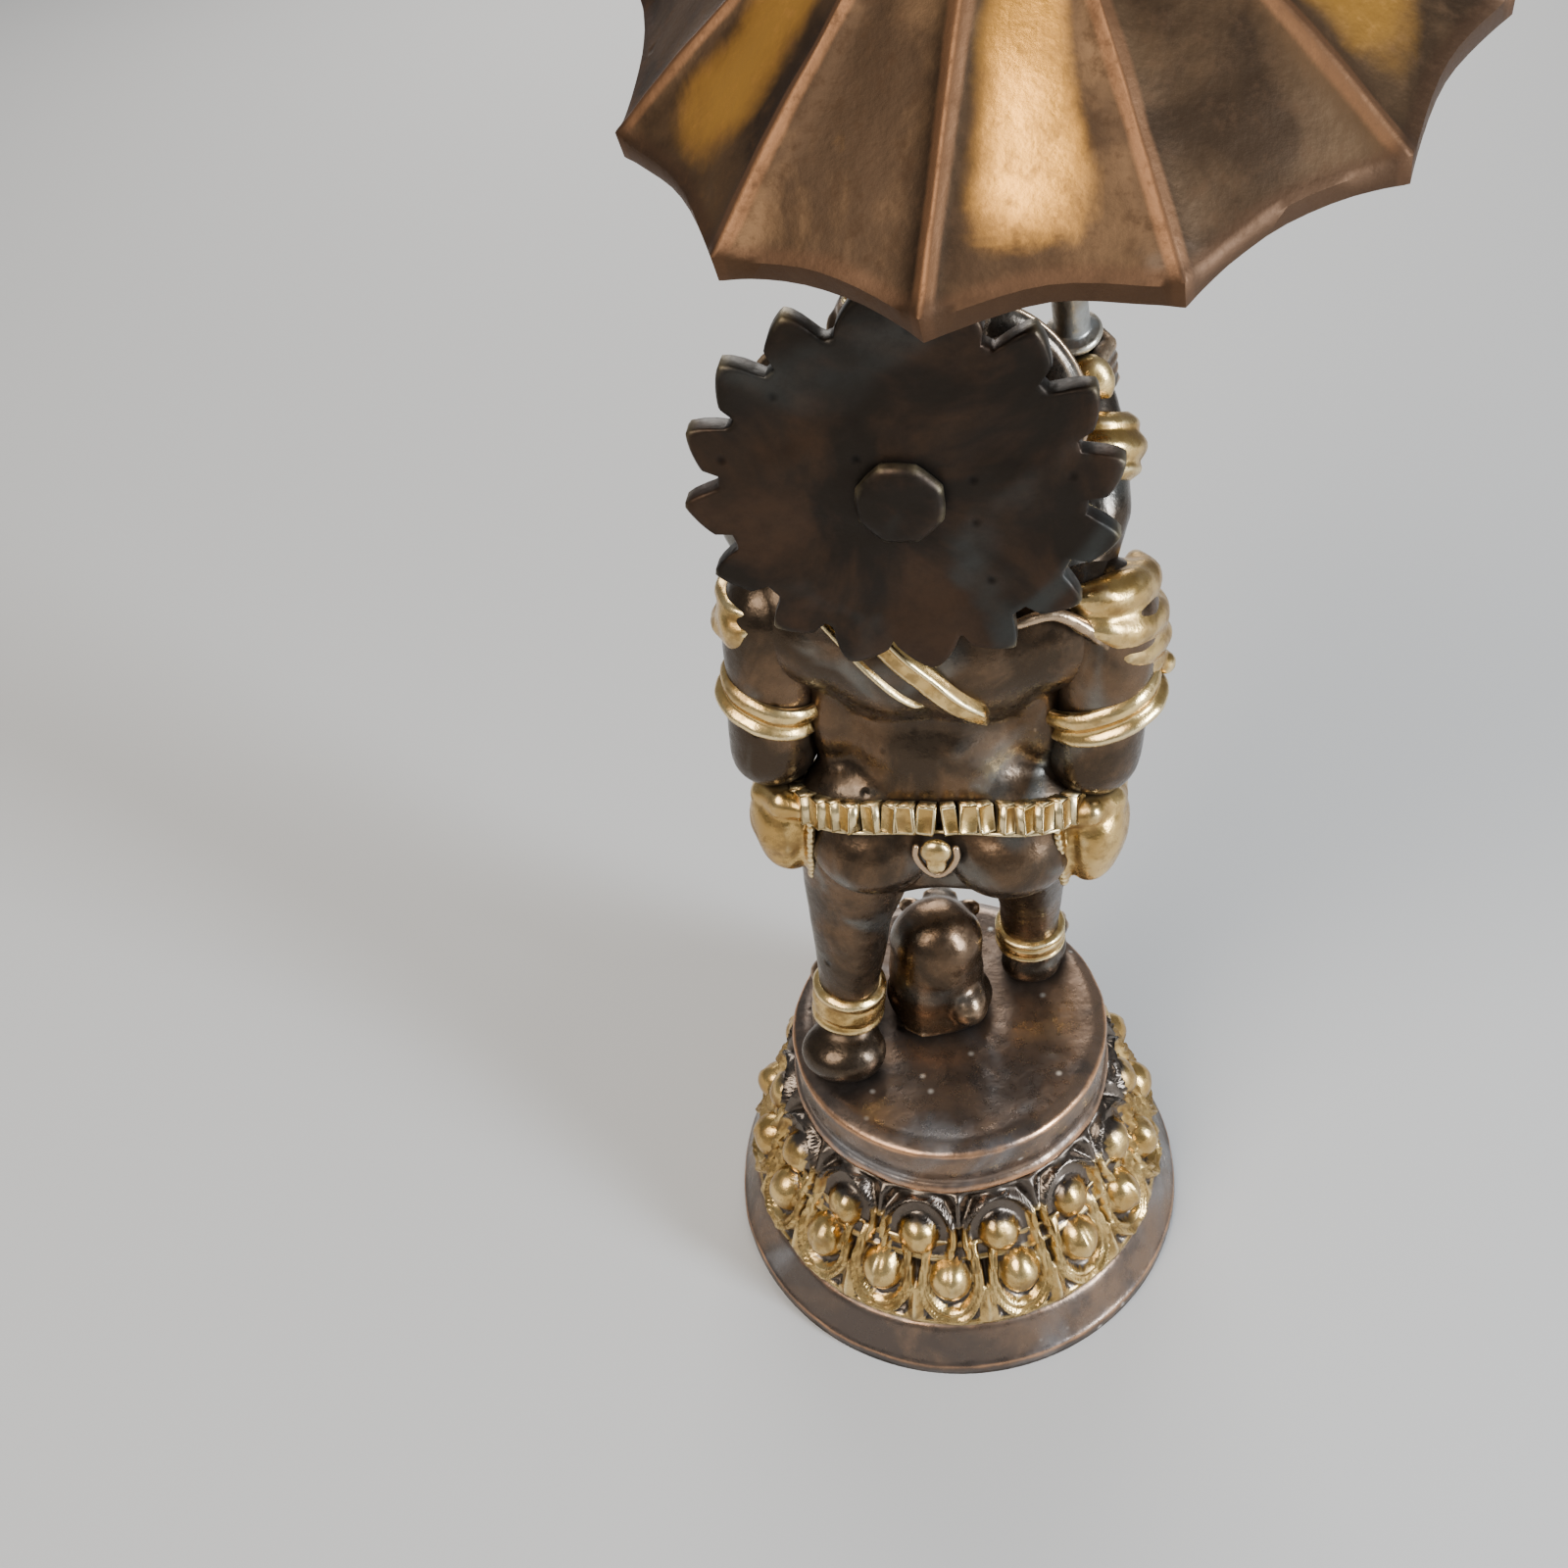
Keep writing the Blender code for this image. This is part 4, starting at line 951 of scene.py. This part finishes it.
def crown():
    """Stepped basket crown, each step edged with upright leaves, with a bud on top."""
    low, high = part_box("crown")
    foot = Matrix.Translation(((low.x + high.x) / 2, (low.y + high.y) / 2, low.z))
    profile = [(0.0, 19.9), (0.7, 19.7), (1.5, 18.9), (1.9, 17.6), (1.6, 16.5), (1.2, 16.0), (2.2, 15.6),
               (3.0, 14.8), (4.2, 12.6), (4.3, 12.2), (3.9, 11.6), (5.0, 11.2), (5.4, 10.8), (6.2, 8.2),
               (6.3, 7.8), (5.9, 7.2), (7.0, 6.8), (7.4, 6.2), (8.0, 3.6), (8.0, 3.2), (7.6, 2.6),
               (8.3, 2.2), (8.6, 1.6), (8.6, 0.4), (8.2, 0.0), (0.0, 0.0)]
    body = turned("crown_tiers", stepped(profile, 0.5), 128, foot)
    carve_leaves(body, foot.translation)
    dress(body, "skin", "figure", "crown")
    middle = foot.translation
    row = []
    for radius, height, count in ((8.5, 1.0, 34), (6.4, 7.3, 26), (4.4, 11.7, 20)):
        row += [middle + Vector(round_point(radius, 2 * math.pi * i / count, height)) for i in range(count)]
    beads("crown_beads", row, 0.42)


# ------------------------------------------------------------------ ornaments

def link_mesh():
    """One belt link of unit size: a block with a sunk outer face and soft edges."""
    template = bmesh.new()
    bmesh.ops.create_cube(template, size=1.0)
    outer = max(template.faces, key=lambda face: face.calc_center_median().x)
    bmesh.ops.inset_individual(template, faces=[outer], thickness=0.10, depth=-0.06)
    bmesh.ops.bevel(template, geom=template.edges[:], offset=0.06, segments=3, affect="EDGES")
    shape = bpy.data.meshes.new("link")
    template.to_mesh(shape)
    template.free()
    return shape


def belt(body):
    """A row of square hollow links over a thin rim."""
    steps = 360
    links = 41
    centre = (-2.0, 1.0, 75.2)
    axis, middle, outs, skins = skin_ring(body, centre, (0.02, -0.36, 1.0), steps, (-1.4, 0.0, 1.4))
    points = [middle + out * skin for out, skin in zip(outs, skins)]
    lengths = np.cumsum([0.0] + [(b - a).length for a, b in zip(points, points[1:] + points[:1])])
    shape = link_mesh()
    bm = bmesh.new()
    for i in range(links):
        size = 1.0 + 0.16 * math.sin(i * 2.1) + 0.08 * math.sin(i * 5.3)
        along = (i + 0.10 * math.sin(i * 1.7)) / links * lengths[-1]
        spot = int(np.searchsorted(lengths, along)) % steps
        out = outs[spot]
        wide = lengths[-1] / links * 0.93 * size
        first = len(bm.verts)
        bm.from_mesh(shape)
        bm.verts.ensure_lookup_table()
        facing = Matrix((out, axis.cross(out), axis)).transposed().to_4x4()
        scale = Matrix.Diagonal((2.1 * MM, wide, 3.3 * MM, 1.0))
        tilt = Matrix.Rotation(math.radians(6 * math.sin(i * 3.3)), 4, "X")
        seat = Matrix.Translation(points[spot] + out * 0.5 * MM) @ facing @ tilt @ scale
        bmesh.ops.transform(bm, matrix=seat, verts=bm.verts[first:])
    bpy.data.meshes.remove(shape)
    row = new_object("belt_links", bm)
    hand_made(row, 4.0, 0.10, 8.0)
    dress(row, "gold", "figure", "belt")
    rim_heights = (0.15, 0.95, 1.05, 0.9, 0.15)
    rim = band("belt_lower_rim", body, Vector(centre) - axis * 1.95, axis, 0.9, rim_heights, 200)
    dress(rim, "gold", "figure")


def pendant():
    """The small leaf under the belt's middle, with a raised hem."""
    leaf = ball((-2.2, 11.3, 74.8), (1.7, 1.0, 1.6)) + ball((-2.2, 11.4, 73.2), (1.1, 0.9, 1.5))
    dress(casting("belt_pendant_leaf", leaf, voxel=0.22, soften=3), "gold", "figure", "belt_pendant")
    edge = []
    for k in range(11):
        angle = math.radians(20 - 22 * k)
        across = 2.2 * math.cos(angle) * (1 - 0.25 * max(0, -math.sin(angle)))
        edge.append((-2.2 + across, 11.2, 74.2 + 3.0 * math.sin(angle), 0.42))
    hem = casting("belt_pendant_rim", smooth_limb(edge, 3), voxel=0.2, soften=2)
    dress(hem, "skin", "figure")


def sash(name, side, node_name):
    """Gathered cloth end at the hip: a soft pouch, a fold over it and a pleated inner hem."""
    def at(out, y, z):
        return side * out + HIP_X, y, z

    forms = ball(at(16.4, 3.2, 72.4), (4.3, 5.8, 6.0)) + ball(at(16.0, 3.8, 70.0), (3.9, 4.8, 4.6))
    fold = limb((*at(13.8, 7.0, 76.4), 1.5), (*at(16.2, 6.4, 76.6), 1.9), (*at(18.4, 3.8, 75.6), 1.9),
                (*at(19.0, -0.4, 74.2), 1.5))
    hem = []
    for i in range(12):
        drop = i / 11
        hem += ball(at(13.0 + 0.9 * drop, 8.2 - 1.4 * drop ** 2, 75.6 - 9.4 * drop), (0.6, 0.8, 0.52))
    body = casting(name, forms, fold + hem, soften=10, fine=0.26, fine_soften=3)
    dent(body, at(14.8, 8.6, 70.0), (0.7, 3.0, 6.0), (0, -0.5, 0))
    hand_made(body, 2.4, 0.16, 9.0)
    return dress(body, "gold", "figure", node_name)


def threads(body):
    """The thread over the left shoulder: a flat strand with a raised edge, and a thin cord beside it."""
    tilt = (-0.70, 0.0, 0.70)
    thick = band("thread_thick_strand", body, (-2.4, 0.5, 96.2), tilt, 3.0,
                 (0.1, 0.4, 0.45, 0.45, 0.45, 0.4, 0.5, 1.1, 1.35, 1.1, 0.2), 160)
    thin = band("thread_thin_cord", body, (-0.6, 0.5, 93.2), tilt, 0.9, (0.0, 0.4, 0.55, 0.4, 0.0), 160)
    middle = np.array(place((-2.0, 0.0, 92.0)))
    for strand, start, edge in ((thin, 93.0, 2), (thick, -7.6, 0)):
        co = coordinates(strand)
        at = (co - np.array(ORIGIN)) / MM
        sunk = np.clip((start - at[:, edge]) / 2.0, 0, 1) * (at[:, 1] > 0)
        set_coordinates(strand, co + (middle - co) * (0.22 * sunk)[:, None])
    dress(thick, "gold", "figure", "thread_thick")
    dress(thin, "gold", "figure", "thread_thin")


# how far the rings' sections rise over the skin, across their width
DOUBLE = (0.05, 0.55, 0.75, 0.55, 0.1, 0.1, 0.45, 0.65, 0.65, 0.5, 0.05)
RING = (0.1, 0.8, 1.0, 0.8, 0.1)
CUFF = (0.1, 1.1, 1.3, 1.0, 1.5, 1.8, 1.8, 1.5, 1.0, 1.2, 1.0, 0.1)
TRIPLE = (0.1, 0.8, 0.8, 0.5, 0.75, 0.8, 0.8, 0.75, 0.5, 0.8, 0.8, 0.1)


def shoulder_leaves():
    """Leaf-shaped armlets laid in rolls round the outside of each shoulder."""
    right = smooth_limb([(-15.0, 5.4, 103.4, 0.9), (-17.8, 5.4, 103.4, 1.7), (-20.4, 3.4, 102.6, 2.2),
                         (-22.2, -0.6, 101.2, 2.1), (-21.8, -4.0, 100.8, 1.3)])
    right += smooth_limb([(-15.8, 6.4, 101.4, 0.7), (-18.8, 6.2, 100.4, 1.5), (-21.6, 4.0, 99.0, 2.0),
                          (-23.2, 0.0, 97.8, 2.0), (-22.6, -3.6, 97.8, 1.2)])
    right += smooth_limb([(-18.4, 6.4, 98.2, 0.6), (-20.8, 5.4, 96.8, 1.3), (-22.8, 2.8, 95.6, 1.7),
                          (-23.8, -0.4, 95.0, 1.6), (-23.0, -3.0, 95.2, 1.0)])
    right += smooth_limb([(-20.8, 5.2, 94.8, 0.5), (-22.6, 3.6, 93.6, 1.1), (-23.8, 1.2, 92.8, 1.2),
                          (-23.8, -1.6, 93.0, 0.9)])
    right += ball((-25.0, 0.4, 91.6), (1.2, 1.3, 1.3)) + ball((-19.8, 1.4, 99.0), (3.9, 5.4, 5.0))
    left = smooth_limb([(14.4, 5.8, 101.2, 0.5), (17.0, 4.8, 101.4, 0.7), (19.0, 1.2, 101.0, 0.8),
                        (19.2, -2.6, 100.6, 0.7)])
    left += smooth_limb([(14.4, 6.0, 100.7, 0.5), (16.8, 5.6, 98.9, 0.8), (18.7, 3.6, 97.9, 0.9),
                         (19.9, 0.4, 97.4, 0.9), (19.4, -2.8, 97.6, 0.8)])
    left += ball((16.8, 1.2, 98.6), (3.0, 5.3, 3.7))
    for side, forms in (("left", left), ("right", right)):
        name = "armlet_upper_" + side
        leaf = casting(name + "_leaf", forms, voxel=0.36, soften=7)
        hand_made(leaf, 2.6, 0.2, len(leaf.name))
        dress(leaf, "gold", "figure", name)


def rings(arms, feet):
    """Bangles, anklets and lower armlets, each on the skin of its arm or leg."""
    lower_left, lower_right, upper_left, upper_right = arms
    left, right = feet
    tilt = math.radians(20)
    across = math.sin(tilt)
    up = math.cos(tilt)
    pieces = (("armlet_lower_left", "band", lower_left, (14.8, 2.4, 88.8), (-across, 0.0, up), 4.4, DOUBLE),
              ("armlet_lower_right", "band", lower_right, (-18.6, 2.4, 88.8), (across, 0.0, up), 4.4, DOUBLE),
              ("bangle_lower_left", "ring", lower_left, (11.2, -12.8, 82.0), (-3.0, -7.2, 3.0), 2.2, RING),
              ("bangle_lower_right", "ring", lower_right, (-17.2, -12.8, 81.7), (1.6, -6.8, 2.6), 2.2, RING),
              ("bangle_upper_left", "ring", upper_left, (14.2, -12.2, 111.2), (-1.0, -2.6, 4.0), 2.0, RING),
              ("bangle_upper_right", "cuff", upper_right, (-17.3, -7.4, 111.6), (0.2, -3.0, 4.4), 6.4, CUFF),
              ("anklet_left", "band", left, (10.2, 5.1, 42.8), (1.0, 0.5, -8.5), 6.0, TRIPLE),
              ("anklet_right", "band", right, (-11.2, -8.5, 41.0), (0.0, -0.4, -9.5), 3.6, TRIPLE))
    for node_name, kind, host, centre, axis, width, heights in pieces:
        made = band(node_name + "_" + kind, host, centre, axis, width, heights)
        hand_made(made, 2.0, 0.10, len(made.name))
        dress(made, "gold", "figure", node_name)


# ------------------------------------------------------------------ disc, parasol

DISC_TEETH = 16
DISC_START = 16.5            # angle of one tooth, in degrees
DISC_TIP_R = 19.2
DISC_VALLEY_R = 15.9
DISC_EDGE = 0.30             # rounding of its teeth's edges
# hammer dents: x and z from the disc's middle, size, depth
DISC_DENTS = ((4.0, 9.0, 3.4, 0.55), (-8.0, 5.0, 2.6, 0.45), (7.5, -4.0, 3.0, 0.5), (-4.5, -9.0, 3.6, 0.5),
              (9.5, 6.5, 2.4, 0.45), (-11.0, -3.0, 3.0, 0.35), (-3.0, 12.0, 2.6, 0.35),
              (3.0, -12.0, 2.8, 0.4))
STUD_LOW, STUD_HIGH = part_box("disc_peg")
STUD_CORNERS = 8


def disc_outline(angle):
    """Rim radius of the disc: leaf-shaped teeth that sweep upwards, each with a flat upper edge."""
    pitch = 2 * math.pi / DISC_TEETH
    turn = angle - math.radians(DISC_START)
    sweep = 0.18 * math.cos(round(turn / pitch) * pitch + math.radians(DISC_START))
    part = (turn / pitch + 0.5) % 1.0 - 0.5 - sweep
    part = (part + 0.5) % 1.0 - 0.5
    steep = 0.5 + math.copysign(0.26, sweep) * min(1.0, abs(sweep) / 0.1)
    share = min(1.0, abs(part) / ((1 - steep) if part > 0 else steep))
    return DISC_TIP_R - (DISC_TIP_R - DISC_VALLEY_R) * share ** 1.35


def disc():
    """The toothed sun disc: worn tooth edges and shallow hammer dents."""
    low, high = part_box("sun_disc")
    centre = (STUD_LOW + STUD_HIGH) / 2
    columns = 16 * DISC_TEETH
    rows = 44
    shares = [0.03 + 0.94 * (k / rows) for k in range(rows)]
    edge = DISC_EDGE * MM
    levels = [(share, high.y) for share in shares]
    levels += [(0.985, high.y), (1.0, high.y - edge), (1.0, low.y + edge), (0.985, low.y)]
    levels += [(share, low.y) for share in reversed(shares)]
    outline = [disc_outline(2 * math.pi * i / columns) for i in range(columns)]
    bm = bmesh.new()
    rows_made = []
    for share, y in levels:
        row = []
        for i, radius in enumerate(outline):
            across, up, _ = round_point(radius * share, 2 * math.pi * i / columns, 0.0)
            row.append(bm.verts.new((centre.x + across, y, centre.z + up)))
        rows_made.append(row)
    join_rings(bm, rows_made)
    bm.faces.new(rows_made[0])
    bm.faces.new(rows_made[-1])
    plate = new_object("disc_plate", bm)
    middle = (centre - ORIGIN) / MM
    back = (high.y - ORIGIN.y) / MM
    for x, z, size, depth in DISC_DENTS:
        dent(plate, (middle.x + x, back, middle.z + z), (size * 1.4, 1.5, size), (0, -depth, 0))
    hand_made(plate, 6.0, 0.22, 11.0)
    hand_made(plate, 1.8, 0.05, 12.0)
    dress(plate, "disc", "figure", "sun_disc")


def disc_stud():
    """The worn, eight-sided head of the peg through the disc, and its shank."""
    profile = [(0.0, 0.0), (2.6, -0.02), (3.5, -0.15), (3.95, -0.45), (4.05, -0.9), (4.0, -1.25), (1.6, -1.3),
               (1.6, -12.4), (0.0, -12.4)]
    stud = turned("disc_stud", stepped(profile, 0.6), 64)
    co = coordinates(stud)
    angle = np.arctan2(co[:, 1], co[:, 0])
    half = np.pi / STUD_CORNERS
    corner = np.cos(half) / np.cos((angle + half) % (2 * half) - half)
    wide = np.hypot(co[:, 0], co[:, 1]) > 2.0 * MM
    for column in (0, 1):
        co[:, column] *= np.where(wide, 0.35 + 0.65 * corner, 1.0)
    set_coordinates(stud, co)
    seat = Matrix.Translation(((STUD_LOW.x + STUD_HIGH.x) / 2, STUD_HIGH.y, (STUD_LOW.z + STUD_HIGH.z) / 2))
    stud.data.transform(seat @ Matrix.Rotation(math.radians(-90), 4, "X"))
    hand_made(stud, 2.0, 0.12, 13.0)
    dress(stud, "disc", "figure", "disc_peg")


RIBS = 12
RIB_START = 17.6             # angle of one rib, in degrees
TIP_R = 33.4                 # rim radius at a rib, and between two ribs
VALLEY_R = 31.0
RISE = 19.3
SHEET = 1.1
PANEL_STEPS = (0.0, 0.018, 0.038, 0.06, 0.09, 0.14, 0.21, 0.30, 0.40, 0.5, 0.60, 0.70, 0.79, 0.86, 0.91, 0.94,
               0.962, 0.982)   # columns from one rib (0) to the next (1)


def canopy_height(angle, reach):
    """Radius and height of the sheet's upper side, as the CAD shapes it."""
    part = abs((angle / (2 * math.pi / RIBS) + 0.5) % 1.0 - 0.5) * 2
    rim = TIP_R + (VALLEY_R - TIP_R) * (1 - (1 - part) ** 2)
    radius = rim * reach
    height = RISE * (1 - (radius / TIP_R) ** 1.25) - reach * (1 - (1 - part) ** 3)
    return radius, height, part


def canopy_point(angle, reach, under):
    """A vertex of the sheet's upper or under side, and how much of a rib it is."""
    radius, height, part = canopy_height(angle, reach)
    away = radius * part * math.pi / RIBS
    rib = math.exp(-(away / 1.0) ** 2) * min(1.0, reach / 0.2)
    lip = math.exp(-((reach - 1.0) / 0.03) ** 2)
    if under:
        height -= SHEET + 0.55 * lip + 0.15 * rib
    else:
        height += 0.5 * rib - 0.12 + 0.1 * lip
    return round_point(radius, angle + math.radians(RIB_START), height), rib


def canopy():
    """One cast sheet: raised ribs, sagging panels, a thick scalloped lip, rubbed panels."""
    rows = 46
    bm = bmesh.new()
    rib_layer = bm.verts.layers.float.new("rib")
    reach_layer = bm.verts.layers.float.new("reach")
    rubbed_layer = bm.verts.layers.float.new("rubbed")
    sides = []
    for under in (False, True):
        grid = []
        for j in range(rows + 1):
            reach = 0.05 + 0.95 * (j / rows) ** 0.9
            near_lip = min(1.0, 5 * (1.0 - reach) + 0.1)
            ring = []
            for panel in range(RIBS):
                for step in PANEL_STEPS:
                    spot, rib = canopy_point(2 * math.pi * (panel + step) / RIBS, reach, under)
                    broad = math.sin(math.pi * min(1.0, max(0.0, step * 1.15 - 0.02)))
                    vert = bm.verts.new(spot)
                    vert[rib_layer] = rib
                    vert[reach_layer] = reach
                    vert[rubbed_layer] = broad * (0.25 if panel % 2 else 0.98) * near_lip
                    ring.append(vert)
            grid.append(ring)
        sides.append(grid)
    upper, lower = sides
    join_rings(bm, upper)
    join_rings(bm, lower)
    for end in (0, -1):
        join_rings(bm, [upper[end], lower[end]])
    sheet = new_object("canopy_sheet", bm)
    hand_made(sheet, 9.0, 0.35, 15.0)
    hand_made(sheet, 2.5, 0.06, 16.0)
    soft = sheet.modifiers.new("soft_edges", "BEVEL")
    soft.width = 0.28 * MM
    soft.segments = 3
    soft.limit_method = "ANGLE"
    soft.angle_limit = math.radians(55)
    bake(sheet)
    sheet.data.transform(CANOPY_PLACE)
    dress(sheet, "canopy", "canopy", "parasol_canopy")


def on_axis(name, profile, look, body, node_name, steps=72):
    """A turned piece on the parasol's axis; heights count from the rim plane."""
    made = turned(name, stepped(rounded(profile, 0.25, 3), 0.8), steps)
    hand_made(made, 3.0, 0.06, len(name))
    made.data.transform(CANOPY_PLACE)
    return dress(made, look, body, node_name)


def parasol():
    canopy()
    top = RISE
    bud = [(0.0, top + 9.0), (0.45, top + 8.6), (1.0, top + 7.8), (1.8, top + 6.6), (2.3, top + 5.5),
           (2.35, top + 4.3), (1.9, top + 3.4), (1.3, top + 2.9), (1.4, top + 2.5), (2.4, top + 2.3),
           (3.0, top + 1.9), (3.3, top + 1.3), (3.4, top + 0.8), (3.2, top - 0.3), (1.7, top - 0.4),
           (1.7, top - 2.6), (0.0, top - 2.6)]
    finial = on_axis("finial_bud", bud, "canopy", "canopy", "parasol_finial", 96)
    finial.data.attributes.new("rubbed", "FLOAT", "POINT")
    socket = [(2.1, top - 3.3), (4.2, top - 4.6), (4.2, top - 5.6), (3.0, top - 6.6), (3.0, top - 10.4),
              (2.1, top - 10.4), (2.1, top - 3.3)]
    on_axis("canopy_socket", socket, "canopy", "canopy", "canopy_hub")
    rod = [(0.0, top - 3.2), (1.7, top - 3.2), (1.7, -34.8), (2.7, -35.3), (2.8, -35.7), (2.6, -36.1),
           (1.7, -36.4), (1.7, -53.0), (1.2, -54.0), (0.0, -54.0)]
    on_axis("staff_rod", rod, "staff", "staff", "parasol_staff", 48)


# ---------------------------------------------------------------- room and view

CAMERA_AT = (-16.451, 131.199, 198.379)
CAMERA_FORWARD = Vector((0.174824, -0.712510, -0.679534))
CAMERA_RIGHT = Vector((-0.984334, -0.142524, -0.103799))
CAMERA_LENS = 37.73          # millimetres, on a sensor 36 wide


def floor():
    bm = bmesh.new()
    bmesh.ops.create_grid(bm, x_segments=1, y_segments=1, size=3.0)
    obj = new_object("floor", bm)
    made, _, shader = new_material("pale_floor")
    shader.inputs["Base Color"].default_value = (0.50, 0.495, 0.485, 1.0)
    shader.inputs["Roughness"].default_value = 0.75
    obj.data.materials.append(made)


def soft_light(name, location, size, power, colour, target=(0.0, 0.0, 0.09)):
    light = bpy.data.lights.new(name, "AREA")
    light.shape = "RECTANGLE"
    light.size, light.size_y = size
    light.energy = power
    light.color = colour
    obj = in_scene(name, light)
    obj.location = location
    obj.rotation_euler = (Vector(target) - Vector(location)).to_track_quat("-Z", "Y").to_euler()


def studio():
    world = bpy.data.worlds.new("studio")
    bpy.context.scene.world = world
    world.use_nodes = True
    sky = world.node_tree.nodes["Background"]
    sky.inputs["Color"].default_value = (0.80, 0.84, 0.90, 1.0)
    sky.inputs["Strength"].default_value = 0.34
    soft_light("key", (0.30, 0.45, 0.62), (0.42, 0.42), 6.5, (1.0, 0.92, 0.82))
    soft_light("cool_side", (-0.55, 0.25, 0.28), (0.12, 0.34), 8.0, (0.80, 0.89, 1.0))
    soft_light("front_fill", (0.1, -0.65, 0.40), (0.5, 0.4), 4.0, (1.0, 0.98, 0.95))


def camera():
    """Behind the figure and above it, as close as a hand-held phone."""
    above = CAMERA_RIGHT.cross(CAMERA_FORWARD)
    lens = bpy.data.cameras.new("camera")
    lens.sensor_width = 36.0
    lens.lens = CAMERA_LENS
    lens.clip_start = 0.01
    obj = in_scene("camera", lens)
    turn = Matrix((CAMERA_RIGHT, above, -CAMERA_FORWARD)).transposed().to_4x4()
    obj.matrix_world = Matrix.Translation(place(CAMERA_AT)) @ turn
    bpy.context.scene.camera = obj


# --------------------------------------------------------------------- the build

camera()
studio()
floor()
pedestal()
petal_ring("lotus_lower_ring", LOWER_COUNT, LOWER_START, LOWER_FOOT, LOWER_HEAD, False, "lotus_petals_lower")
petal_ring("lotus_upper_ring", UPPER_COUNT, UPPER_START, UPPER_FOOT, UPPER_HEAD, True, "lotus_petals_upper")
torso_piece = torso()
both_legs = legs()
four_arms = (lower_left_arm(), lower_right_arm(), upper_left_arm(), upper_right_arm())
mouse()
head()
trunk()
ear("left_ear_flap", 1, 9.9, 4.0, 1.2, "left_ear")
ear("right_ear_flap", -1, 7.3, 14.0, 5.4, "right_ear")
tusk("left_tusk_ivory", 1, 6.0, "left_tusk")
tusk("right_tusk_stump", -1, 3.6, "right_tusk")
crown()
belt(torso_piece)
pendant()
sash("left_sash_pouch", 1, "left_sash_end")
sash("right_sash_pouch", -1, "right_sash_end")
threads(torso_piece)
shoulder_leaves()
rings(four_arms, both_legs)
disc()
disc_stud()
parasol()
